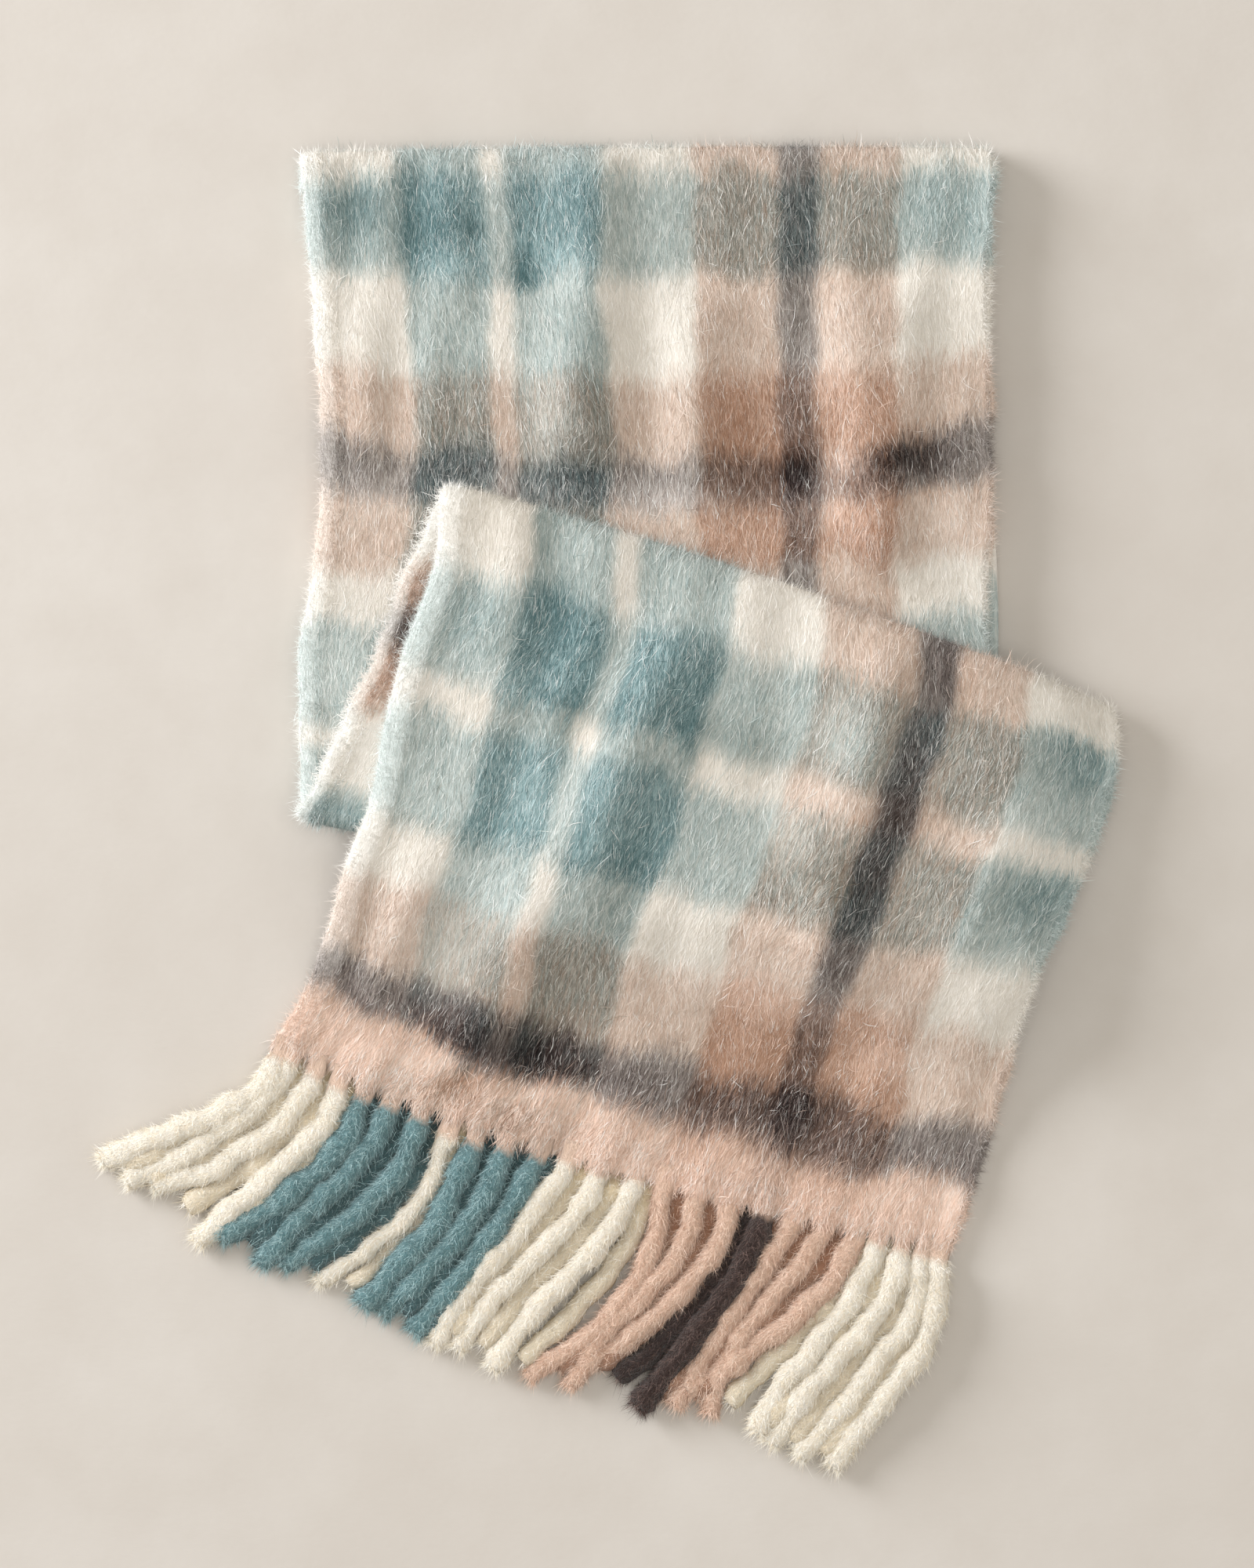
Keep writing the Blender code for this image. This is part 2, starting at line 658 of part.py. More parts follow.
def strand_faces(base, rings, points):
    """Faces of a strand that grows out of a face of its backing. Its points are added to the list."""
    faces = []
    previous = base
    for ring in rings:
        start = len(points)
        points += ring
        current = tuple(range(start, start + 4))
        for i in range(4):
            j = (i + 1) % 4
            faces.append((previous[i], previous[j], current[j], current[i]))
        previous = current
    faces.append(previous)
    return faces


def centre_on_origin(objects):
    """Moves the meshes so that the middle of the scarf's box, at floor level, is the origin."""
    points = np.concatenate([[tuple(vertex.co) for vertex in item.data.vertices] for item in objects])
    middle = (points.min(axis=0) + points.max(axis=0)) / 2.0
    to_origin = Matrix.Translation((-middle[0], -middle[1], 0.0))
    for item in objects:
        item.data.transform(to_origin)


def main():
    for old in list(bpy.data.objects):
        bpy.data.objects.remove(old)
    scarf = bpy.data.collections.new(COLLECTION)
    bpy.context.scene.collection.children.link(scarf)
    pieces = [hidden_layers(), back_stretch(), middle_stretch(), front_stretch()]
    table = strand_table()
    pieces += [fringe(*made) for made in zip(FRINGE_RUNS, table, run_borders(table), strict=True)]
    centre_on_origin(pieces)


main()
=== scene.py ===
"""Looks of the blanket scarf: brushed plaid cloth with a long nap, and a felted fringe.

Lengths in the cloth's tables are millimetres in the plan of the CAD source. Meshes are in metres in its
frame.
"""

import collections
import math

import bpy
import numpy as np
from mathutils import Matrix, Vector


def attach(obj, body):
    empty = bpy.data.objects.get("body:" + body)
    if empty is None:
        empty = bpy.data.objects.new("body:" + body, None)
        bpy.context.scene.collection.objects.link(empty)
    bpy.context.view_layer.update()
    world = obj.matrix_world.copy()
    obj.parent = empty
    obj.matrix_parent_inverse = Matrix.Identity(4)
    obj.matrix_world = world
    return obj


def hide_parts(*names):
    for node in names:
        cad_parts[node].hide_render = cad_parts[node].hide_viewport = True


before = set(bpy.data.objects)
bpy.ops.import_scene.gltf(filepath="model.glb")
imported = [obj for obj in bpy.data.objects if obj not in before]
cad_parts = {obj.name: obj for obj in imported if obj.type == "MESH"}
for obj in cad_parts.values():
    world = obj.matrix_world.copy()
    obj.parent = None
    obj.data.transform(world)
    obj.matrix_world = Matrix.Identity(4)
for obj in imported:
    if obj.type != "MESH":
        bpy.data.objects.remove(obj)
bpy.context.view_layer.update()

MM = 0.001
FRAME_SHIFT = np.array([1.7221, 0.2337, 0.0])  # plan position of the frame's origin

# --- sizes shared with the CAD source

PLY = 3.2
SLIT = 0.6
DOUBLED = 2 * PLY + SLIT
GAP = 0.3
UNDER_PLY_LAP = 1.6
HIDDEN_HEIGHT = 9.6
LOWER_LIMB = 8.0
FLAT_MARGIN = 9.0
BACK_DROPS = 44.0, 78.0
MIDDLE_DROPS = 24.0, 54.0
DRAPE_CLEARANCE = 1.5
CLEARANCE_START = -16.0
CLEARANCE_RISE = 14.0

Row = collections.namedtuple("Row", "left_x left_y right_x right_y sag")
TOP_FOLD = Row(-135.2, 289.8, 169.1, 291.8, -1.4)
BOTTOM_FOLD = Row(-136.2, -4.9, 170.5, -63.4, 1.4)
UPPER_FOLD = Row(-72.1, 144.2, 224.6, 43.7, -5.5)
HEM = Row(-147.7, -103.3, 151.1, -194.1, 11.1)

BACK_ROWS = (
    Row(-131.7, 238.1, 167.1, 243.3, 6.9),
    Row(-127.5, 194.8, 166.7, 200.0, 7.6),
    Row(-126.2, 165.3, 167.8, 168.8, 14.6),
    Row(-127.5, 141.1, 168.4, 146.3, 12.1),
    Row(-130.3, 105.4, 167.1, 115.1, 6.9),
    Row(-133.8, 82.1, 166.4, 87.3, 5.2),
    Row(-136.6, 37.1, 168.4, 26.7, 3.5),
)
MIDDLE_ROWS = (
    Row(-112.3, 45.8, 192.0, -26.3, 0.7),
    Row(-93.9, 90.8, 208.7, 9.7, 0.0),
)
FRONT_ROWS = (
    Row(-76.3, 110.9, 223.6, 24.3, 2.8),
    Row(-91.5, 63.1, 212.1, -18.4, 1.0),
    Row(-106.4, 0.7, 188.2, -73.1, 4.5),
    Row(-116.1, -26.3, 177.1, -105.0, 3.5),
    Row(-125.1, -60.0, 169.1, -140.4, 9.7),
    Row(-131.0, -76.3, 159.4, -166.4, 14.6),
)
HIDDEN_ROWS = (
    Row(-131.0, 238.0, 165.0, 243.0, 0.0),
    Row(-124.0, 165.0, 165.5, 168.0, 0.0),
    Row(-130.0, 105.0, 171.5, 112.0, 0.0),
    Row(-133.0, 60.0, 172.0, 62.0, 0.0),
    Row(-134.0, 25.0, 168.0, 15.0, 0.0),
)
HIDDEN_TOP_LEFT, HIDDEN_TOP_RIGHT = -133.0, 166.0
HIDDEN_BOTTOM_IN = 3.0
HIDDEN_LAP = 2.0
HIDDEN_CORNER = 5.0

Ridge = collections.namedtuple("Ridge", "start_x start_y end_x end_y half_width height")
BACK_RIDGES = (
    Ridge(-9.0, 276.0, -11.0, 165.0, 13.0, 9.5),
    Ridge(41.0, 212.0, 40.0, 122.0, 12.0, 7.5),
    Ridge(119.0, 212.0, 118.0, 92.0, 18.0, 9.0),
    Ridge(-68.0, 272.0, -66.0, 236.0, 10.0, 3.5),
    Ridge(-93.0, 150.0, -94.0, 112.0, 11.0, 5.0),
)
FRONT_RIDGES = (
    Ridge(30.0, 66.0, -50.0, -89.0, 16.0, 9.5),
    Ridge(124.0, 58.0, 95.0, -66.0, 17.0, 7.5),
    Ridge(180.0, 24.0, 154.0, -56.0, 12.0, 5.5),
    Ridge(-88.0, -42.0, -112.0, -92.0, 11.0, 4.0),
)
RIDGE_FADE = 26.0
COVERED_MARGIN = 14.0

# --- plaid

CLOTH_HALF = 305.0  # width of the doubled cloth
PLAID_UNIT = np.array([CLOTH_HALF * MM, MM])  # metres of a share of that width, and of a mm along the cloth
# Warp bands from the lengthwise fold to the selvedges: where each ends, as a share of the doubled width
WARP_BANDS = (
    ("cream", 0.139),
    ("teal", 0.263),
    ("cream", 0.302),
    ("teal", 0.434),
    ("cream", 0.573),
    ("peach", 0.702),
    ("charcoal", 0.758),
    ("peach", 0.873),
    ("cream", 1.01),
)


def srgb(red, green, blue):
    """A linear colour from 8-bit display values."""
    found = []
    for value in (red, green, blue):
        value /= 255.0
        found.append(value / 12.92 if value <= 0.04045 else ((value + 0.055) / 1.055) ** 2.4)
    return (*found, 1.0)


def display(red, green, blue):
    """8-bit display values as they are, for colours that are blended before they become linear."""
    return (red / 255.0, green / 255.0, blue / 255.0, 1.0)


# A yarn's 8-bit display colours: in the brushed ground, as raised fibres, and as a felted strand, with a
# painted highlight where the light catches that and painted shade in its creases. The last value is how much
# a strand of the lower ply is shaded.
Yarn = collections.namedtuple("Yarn", "ground nap strand light shade under")
YARNS = {
    "cream": Yarn((220, 215, 205), (248, 245, 239), (251, 245, 232), (255, 254, 247), (226, 208, 172), 0.5),
    "teal": Yarn((79, 108, 111), (198, 221, 223), (106, 144, 149), (184, 213, 216), (48, 73, 76), 0.7),
    "peach": Yarn((156, 120, 98), (238, 211, 194), (230, 198, 176), (250, 229, 213), (158, 116, 91), 0.8),
    "charcoal": Yarn((24, 16, 15), (126, 113, 109), (60, 45, 41), (120, 101, 95), (26, 17, 16), 0.4),
}
GROUND = {name: display(*yarn.ground) for name, yarn in YARNS.items()}
NAP = {name: display(*yarn.nap) for name, yarn in YARNS.items()}
WHITE_NAP = display(244, 245, 243)
RIM_WHITE = display(250, 250, 247)


# --- plan geometry


def smoothstep(x):
    """From 0 to 1 as x does, with a soft start and end."""
    x = np.clip(x, 0.0, 1.0)
    return x * x * (3.0 - 2.0 * x)


def row_ends(row):
    return np.array([row.left_x, row.left_y]), np.array([row.right_x, row.right_y])


def row_across(row):
    left, right = row_ends(row)
    return (right - left) / np.linalg.norm(right - left)


def row_up(row):
    across = row_across(row)
    return np.array([-across[1], across[0]])


def row_points(row, share):
    """Plan points at these shares of the way along a row, which sags between its ends."""
    left, right = row_ends(row)
    share = np.asarray(share, float)[:, None]
    return left + (right - left) * share - row_up(row) * row.sag * 4.0 * share * (1.0 - share)


def moved_row(row, distance):
    shift = row_up(row) * distance
    left, right = row_ends(row)
    return Row(*(left + shift), *(right + shift), row.sag)


def stations(rows):
    """Distance along the cloth of each row of a table."""
    table = np.array(rows)
    steps = np.linalg.norm(np.diff(table[:, :2], axis=0), axis=1)
    steps += np.linalg.norm(np.diff(table[:, 2:4], axis=0), axis=1)
    return np.concatenate([[0.0], np.cumsum(steps / 2.0)])


def smooth_rows(rows, pitch):
    """Rows about a pitch apart on a smooth curve through the rows of a table, and their stations."""
    table = np.array(rows)
    station = stations(rows)
    slope = np.gradient(table, station, axis=0)
    count = max(2, math.ceil(station[-1] / pitch))
    places = np.linspace(0.0, station[-1], count + 1)
    found = []
    for at in places:
        k = min(np.searchsorted(station, at, side="right") - 1, len(rows) - 2)
        length = station[k + 1] - station[k]
        f = (at - station[k]) / length
        ahead = f * f * (3.0 - 2.0 * f)
        value = table[k] * (1.0 - ahead) + table[k + 1] * ahead
        value = value + length * (f * (1 - f) ** 2 * slope[k] - f * f * (1 - f) * slope[k + 1])
        found.append(Row(*value))
    return found, places


def edge_distances(corners, points):
    """How far plan points lie outside each edge of an outline, whose corners run clockwise."""
    corners = np.array(corners)
    found = []
    for start, end in zip(corners, np.roll(corners, -1, axis=0), strict=True):
        along = (end - start) / np.linalg.norm(end - start)
        found.append((points - start) @ np.array([-along[1], along[0]]))
    return np.array(found)


def outside_back(points):
    return edge_distances((*row_ends(TOP_FOLD), *row_ends(BOTTOM_FOLD)[::-1]), points)


def outside_middle(points):
    return edge_distances((*row_ends(UPPER_FOLD), *row_ends(BOTTOM_FOLD)[::-1]), points)


def outside_front(points):
    return edge_distances((*row_ends(UPPER_FOLD), *row_ends(HEM)[::-1]), points)


def still_up(outside, side_drop, bottom_drop):
    """How much of its height the cloth keeps this far outside what carries it, from 1 down to 0."""
    drops = (side_drop, side_drop, bottom_drop, side_drop)
    height = np.ones(outside.shape[1])
    for distance, drop in zip(outside, drops, strict=True):
        height *= 1.0 - smoothstep((distance - FLAT_MARGIN) / drop)
    return height


def drape_room(points):
    """Extra clearance under the front stretch, where it leaves the back one."""
    outside = outside_back(points).max(axis=0)
    return DRAPE_CLEARANCE * smoothstep((outside - CLEARANCE_START) / CLEARANCE_RISE)


def back_underside(points):
    return np.full(len(points), HIDDEN_HEIGHT + GAP)


def middle_underside(points):
    height = HIDDEN_HEIGHT + GAP + DOUBLED + GAP
    return height * still_up(outside_back(points), *BACK_DROPS)


def front_underside(points):
    step = DOUBLED + GAP + drape_room(points)
    return middle_underside(points) + step * still_up(outside_middle(points), *MIDDLE_DROPS)


def ridge_lift(points, ridges):
    """How far the soft folds of a table lift the upper ply."""
    lift = np.zeros(len(points))
    for ridge in ridges:
        start = np.array([ridge.start_x, ridge.start_y])
        run = np.array([ridge.end_x, ridge.end_y]) - start
        length = np.linalg.norm(run)
        along = (points - start) @ run / length
        aside = (points - start) @ np.array([-run[1], run[0]]) / length
        ends = smoothstep((along + RIDGE_FADE) / RIDGE_FADE)
        ends *= smoothstep((length + RIDGE_FADE - along) / RIDGE_FADE)
        lift += ridge.height * ends * np.exp(-((aside / ridge.half_width) ** 2))
    return lift


def soft_noise(across, along, seed, wave_across, wave_along, waves=26):
    """Smooth unevenness of about unit size, from seeded waves over cloth coordinates."""
    rng = np.random.default_rng(seed)
    total = np.zeros(np.shape(across))
    for _ in range(waves):
        step_across = rng.choice((-1.0, 1.0)) / (wave_across * rng.uniform(0.7, 1.7))
        step_along = rng.uniform(-1.0, 1.0) / wave_along
        phase = rng.uniform(0.0, 2.0 * math.pi)
        total += np.cos(2.0 * math.pi * (across * step_across + along * step_along) + phase)
    return total / math.sqrt(waves / 2.0)


# --- places of the view

PIXEL = 0.3466  # mm of plan a pixel of the 1600 x 2000 view
PIXEL_ORIGIN = 776.0, 1032.0


def from_view(pixel_x, pixel_y):
    """Plan millimetres of a place in the 1600 x 2000 view."""
    return np.array([(pixel_x - PIXEL_ORIGIN[0]) * PIXEL, (PIXEL_ORIGIN[1] - pixel_y) * PIXEL])


# Where a stretch's cloth differs from its even plaid: a place of the view, its reach in pixels, and how much
Patch = collections.namedtuple("Patch", "view_x view_y reach_x reach_y amount")
# Frosted with raised pale fibres or worn to the ground, in part painted light and painted shade of the folds
# and below the fold edges, and its plaid pulled right or down, in pixels
Marks = collections.namedtuple("Marks", "frost weft right down")
BACK_MARKS = Marks(
    frost=(
        Patch(1052, 640, 26, 45, 0.60),
        Patch(1035, 470, 22, 50, 0.40),
        Patch(850, 640, 60, 18, 0.55),
        Patch(1072, 592, 24, 16, 0.45),
        Patch(700, 520, 40, 70, 0.35),
        Patch(720, 350, 30, 40, 0.30),
        Patch(650, 630, 60, 18, 0.35),
        Patch(600, 340, 60, 30, 0.22),
        Patch(480, 630, 40, 36, 0.40),
        Patch(940, 560, 34, 60, -0.28),
        Patch(430, 860, 40, 60, 0.30),
        Patch(1225, 270, 50, 60, 0.15),
        Patch(415, 1040, 40, 44, 0.45),
        Patch(1215, 668, 26, 34, 0.35),
        Patch(900, 636, 50, 14, 0.25),
        Patch(1160, 755, 40, 24, -0.50),
        Patch(470, 260, 26, 44, -0.30),
        Patch(1150, 580, 50, 24, -0.30),
        Patch(1015, 592, 30, 24, -0.50),
        Patch(745, 480, 26, 100, -0.40),
        Patch(660, 350, 28, 30, -0.45),
        Patch(560, 300, 60, 30, -0.20),
        Patch(450, 290, 60, 50, -0.10),
        Patch(460, 590, 40, 22, -0.25),
    ),
    weft=(
        Patch(1160, 585, 60, 40, 0.40),
        Patch(1080, 590, 26, 30, -0.30),
        Patch(1215, 270, 60, 70, 0.22),
        Patch(450, 262, 56, 62, 0.30),
    ),
    right=(Patch(1030, 470, 60, 130, -7.0),),
    down=(
        Patch(668, 352, 30, 34, 22.0),
        Patch(735, 336, 26, 34, -12.0),
        Patch(1180, 580, 60, 60, 7.0),
    ),
)
MIDDLE_MARKS = Marks(frost=(Patch(450, 930, 60, 60, 0.4),), weft=(), right=(), down=())
FRONT_MARKS = Marks(
    frost=(
        Patch(575, 1185, 60, 60, 0.60),
        Patch(635, 660, 60, 50, -0.45),
        Patch(520, 1070, 50, 40, -0.35),
        Patch(680, 1170, 50, 30, 0.30),
        Patch(1050, 935, 55, 60, 0.50),
        Patch(1000, 1050, 36, 50, 0.45),
        Patch(960, 1255, 120, 26, 0.35),
        Patch(640, 870, 26, 26, 0.30),
        Patch(705, 1020, 90, 60, 0.22),
        Patch(560, 1295, 60, 34, 0.35),
        Patch(715, 1340, 50, 34, 0.28),
        Patch(550, 1352, 60, 20, 0.50),
        Patch(690, 1398, 60, 18, 0.35),
        Patch(1300, 1055, 70, 34, 0.25),
        Patch(1345, 1140, 50, 40, 0.15),
        Patch(1160, 980, 30, 50, 0.20),
        Patch(1113, 1113, 30, 50, 0.15),
        Patch(1140, 1350, 60, 36, 0.35),
        Patch(1213, 1535, 16, 46, 0.60),
        Patch(480, 1420, 60, 40, 0.20),
        Patch(725, 790, 36, 60, -0.20),
        Patch(735, 920, 46, 26, -0.50),
        Patch(590, 895, 30, 26, -0.30),
        Patch(950, 965, 56, 44, -0.40),
        Patch(1030, 900, 20, 50, -0.30),
        Patch(575, 1388, 34, 20, -0.50),
        Patch(660, 1425, 30, 22, -0.45),
        Patch(1030, 1290, 90, 22, 0.35),
        Patch(560, 1235, 40, 36, 0.30),
        Patch(530, 1040, 30, 60, 0.25),
        Patch(895, 960, 26, 55, -0.40),
        Patch(1070, 1130, 30, 50, -0.30),
        Patch(1190, 1040, 30, 30, -0.25),
        Patch(650, 1340, 80, 50, -0.45),
        Patch(800, 1150, 30, 60, -0.25),
        Patch(1225, 890, 30, 30, -0.25),
        Patch(1290, 1150, 60, 40, -0.30),
    ),
    weft=(
        Patch(1200, 847, 30, 60, -0.25),
        Patch(1160, 980, 30, 60, -0.28),
        Patch(1139, 1043, 26, 36, -0.28),
        Patch(1113, 1113, 30, 60, -0.28),
        Patch(1067, 1233, 28, 60, -0.22),
        Patch(1380, 970, 44, 54, 0.35),
        Patch(1345, 1140, 60, 50, 0.32),
        Patch(1000, 1410, 70, 40, 0.15),
        Patch(600, 790, 56, 56, 0.15),
        Patch(1090, 950, 50, 50, 0.15),
        Patch(570, 1305, 56, 44, 0.35),
        Patch(715, 1345, 56, 44, 0.35),
    ),
    right=(
        Patch(1190, 850, 80, 70, 17.0),
        Patch(1100, 1170, 70, 90, 8.0),
        Patch(1035, 1390, 60, 60, -13.0),
    ),
    down=(
        Patch(910, 1435, 90, 46, -14.0),
        Patch(745, 1395, 40, 36, -12.0),
    ),
)


def patch_sum(points, patches):
    """What a list of patches adds at plan points."""
    total = np.zeros(len(points))
    for patch in patches:
        away_x, away_y = ((points - from_view(patch.view_x, patch.view_y)) / PIXEL).T
        total += patch.amount * np.exp(-((away_x / patch.reach_x) ** 2) - (away_y / patch.reach_y) ** 2)
    return total


def marked_place(place, plan, marks):
    """Cloth coordinates (share of the width, mm along) after the plaid is pulled."""
    right = patch_sum(plan, marks.right) * PIXEL / CLOTH_HALF
    down = patch_sum(plan, marks.down) * PIXEL
    return place - np.column_stack([right, down])


# --- meshes

LOWEST = 0.1  # mm over the floor


def to_frame(points):
    return (np.asarray(points, float) - FRAME_SHIFT) * MM


def new_object(name, mesh, shown_material):
    mesh.materials.append(shown_material)
    made = bpy.data.objects.new(name, mesh)
    bpy.context.scene.collection.objects.link(made)
    return made


def face_mesh(name, points, corners, starts):
    """A smooth-shaded mesh from point, corner and face-start arrays."""
    mesh = bpy.data.meshes.new(name)
    mesh.vertices.add(len(points))
    mesh.vertices.foreach_set("co", np.asarray(points, np.float32).ravel())
    mesh.loops.add(len(corners))
    mesh.loops.foreach_set("vertex_index", np.asarray(corners, np.int32))
    mesh.polygons.add(len(starts))
    mesh.polygons.foreach_set("loop_start", np.asarray(starts, np.int32))
    mesh.update(calc_edges=True)
    mesh.polygons.foreach_set("use_smooth", np.ones(len(starts), bool))
    return mesh


def set_values(mesh, name, values):
    """A number for each point of a mesh, that its material reads."""
    attribute = mesh.attributes.new(name, "FLOAT", "POINT")
    attribute.data.foreach_set("value", np.asarray(values, np.float32))


def set_uv(mesh, name, corner_uv):
    layer = mesh.uv_layers.new(name=name)
    layer.data.foreach_set("uv", np.asarray(corner_uv, np.float32).ravel())


def tube_quads(rows, columns):
    """Faces between closed rings of points, with the ring and the place on it that each starts from."""
    low, ring = np.meshgrid(np.arange(rows - 1), np.arange(columns), indexing="ij")
    ahead = (ring + 1) % columns
    near, far = low * columns, (low + 1) * columns
    return np.stack([near + ring, near + ahead, far + ahead, far + ring], axis=-1).reshape(-1, 4), low, ring


def tube_map(across, along, low, ring):
    """Map coordinates at those faces' corners, from the ones round a ring and the ones from ring to ring."""
    left, right, start, end = across[ring], across[ring + 1], along[low], along[low + 1]
    places = (left, start), (right, start), (right, end), (left, end)
    return np.stack([np.stack(place, -1) for place in places], -2).reshape(-1, 2)


def mesh_points(mesh):
    points = np.empty(len(mesh.vertices) * 3, np.float32)
    mesh.vertices.foreach_get("co", points)
    return points.reshape(-1, 3)


def face_out(mesh):
    """Turns a closed mesh's faces outward, which they are where its volume counts as positive."""
    mesh.calc_loop_triangles()
    index = np.empty(len(mesh.loop_triangles) * 3, np.int32)
    mesh.loop_triangles.foreach_get("vertices", index)
    corner = mesh_points(mesh)[index.reshape(-1, 3)].astype(float)
    if np.einsum("ij,ij->i", corner[:, 0], np.cross(corner[:, 1], corner[:, 2])).sum() < 0.0:
        mesh.flip_normals()


def keep_up(mesh):
    """Keeps every point above the floor."""
    points = mesh_points(mesh)
    points[:, 2] = np.maximum(points[:, 2], LOWEST * MM)
    mesh.vertices.foreach_set("co", points.ravel())
    mesh.update()


# --- cloth shells

TOP_PITCH = 3.3  # of the columns over the upper ply
UNDER_PITCH = 9.0  # of the columns that stay unseen
ROW_PITCH = 3.3
NOSE_TOP = 12.0  # width of the rounded lengthwise fold, seen from above
NOSE_UNDER = 3.6  # and from below
ROUNDING = 2.0  # of the selvedges
SLIT_END = PLY + 1.0  # where the slit ends, in from the lengthwise fold
NOSE_TURNS = 82, 72, 62, 52, 42, 32, 22, 11, 0  # degrees of the points round the lengthwise fold
UNDER_TURNS = -25, -50, -72, -90
SELVEDGE_TURNS = -90, -60, -30, 0, 30, 60, 90
FOLD_STEPS = 15
# Degrees of the sections round a crosswise fold, from its lower limb up
FOLD_TURNS = *np.linspace(-90.0, 0.0, FOLD_STEPS // 2 + 1)[:-1], *np.linspace(0.0, 90.0, FOLD_STEPS)
FOLD_LIFT_START, FOLD_LIFT_RISE = 20.0, 70.0  # degrees over which the folds of the upper ply set in
NOSE_HOLD, SELVEDGE_HOLD = 14.0, 20.0  # how fast the waves of the edges fade into the cloth

RingPoint = collections.namedtuple("RingPoint", "share aside offset lifts layer")


def selvedge_points(turns, lap, middle, lifts, layer):
    """Ring points round the selvedge of one ply."""
    found = []
    for degrees in turns:
        turn = math.radians(degrees)
        aside = lap - ROUNDING + ROUNDING * math.cos(turn)
        found.append(RingPoint(1.0, aside, middle + PLY / 2.0 * math.sin(turn), lifts, layer))
    return found


def nose_points(turns, width, layer):
    """Ring points round the lengthwise fold, of which the nose lifts with the upper ply."""
    found = []
    for degrees in turns:
        turn = math.radians(degrees)
        aside = width * (1.0 - math.cos(turn))
        lifts = float(smoothstep(aside / width)) if layer == "nose" else 0.0
        found.append(RingPoint(0.0, aside, DOUBLED / 2.0 * math.sin(turn), lifts, layer))
    return found


def ring_points():
    """A section of the doubled cloth, from the selvedge: top, lengthwise fold, underside, lap and slit."""
    outer, slit = DOUBLED / 2.0, SLIT / 2.0
    ply_middle = slit + PLY / 2.0
    nose_end, selvedge_start = NOSE_TOP / CLOTH_HALF, 1.0 - ROUNDING / CLOTH_HALF
    count = round((CLOTH_HALF - ROUNDING - NOSE_TOP) / TOP_PITCH)
    over = np.linspace(selvedge_start, nose_end, count + 1)[1:]
    inner = np.linspace(nose_end, selvedge_start, round(CLOTH_HALF / UNDER_PITCH))
    return [
        *selvedge_points(SELVEDGE_TURNS[5:], 0.0, ply_middle, 1.0, "edge"),
        *(RingPoint(share, 0.0, outer, 1.0, "top") for share in over),
        *nose_points(NOSE_TURNS, NOSE_TOP, "nose"),
        *nose_points(UNDER_TURNS, NOSE_UNDER, "under"),
        *(RingPoint(share, 0.0, -outer, 0.0, "under") for share in inner),
        *selvedge_points(SELVEDGE_TURNS, UNDER_PLY_LAP, -ply_middle, 0.0, "lap"),
        *(RingPoint(share, 0.0, -slit, 0.0, "slit") for share in inner[::-1]),
        RingPoint(0.0, SLIT_END, 0.0, 0.0, "slit"),
        *(RingPoint(share, 0.0, slit, 1.0, "slit") for share in inner),
        *selvedge_points(SELVEDGE_TURNS[:5], 0.0, ply_middle, 1.0, "edge"),
    ]


SHARE, ASIDE, OFFSET, LIFTS, LAYER = (np.array(column) for column in zip(*ring_points(), strict=True))
CLOTH_X = np.clip(SHARE + ASIDE / CLOTH_HALF, 0.0, 1.0)  # share of the doubled width, for the plaid

FOLD_RADIUS = (DOUBLED + GAP) / 2.0
TOP_FOLD_RADIUS = (HIDDEN_HEIGHT + GAP) / 2.0
TOP_FOLD_LINE = moved_row(TOP_FOLD, -(TOP_FOLD_RADIUS + DOUBLED / 2.0))
BOTTOM_FOLD_LINE = moved_row(BOTTOM_FOLD, FOLD_RADIUS + DOUBLED / 2.0)
UPPER_FOLD_LINE = moved_row(UPPER_FOLD, -(FOLD_RADIUS + DOUBLED / 2.0))
HEM_ROUND = 2.0  # of the hem's edge
BACK_LINES = TOP_FOLD_LINE, *BACK_ROWS, moved_row(BOTTOM_FOLD_LINE, GAP)
MIDDLE_LINES = BOTTOM_FOLD_LINE, *MIDDLE_ROWS, moved_row(UPPER_FOLD_LINE, -GAP)
FRONT_LINES = UPPER_FOLD_LINE, *FRONT_ROWS, moved_row(HEM, HEM_ROUND)


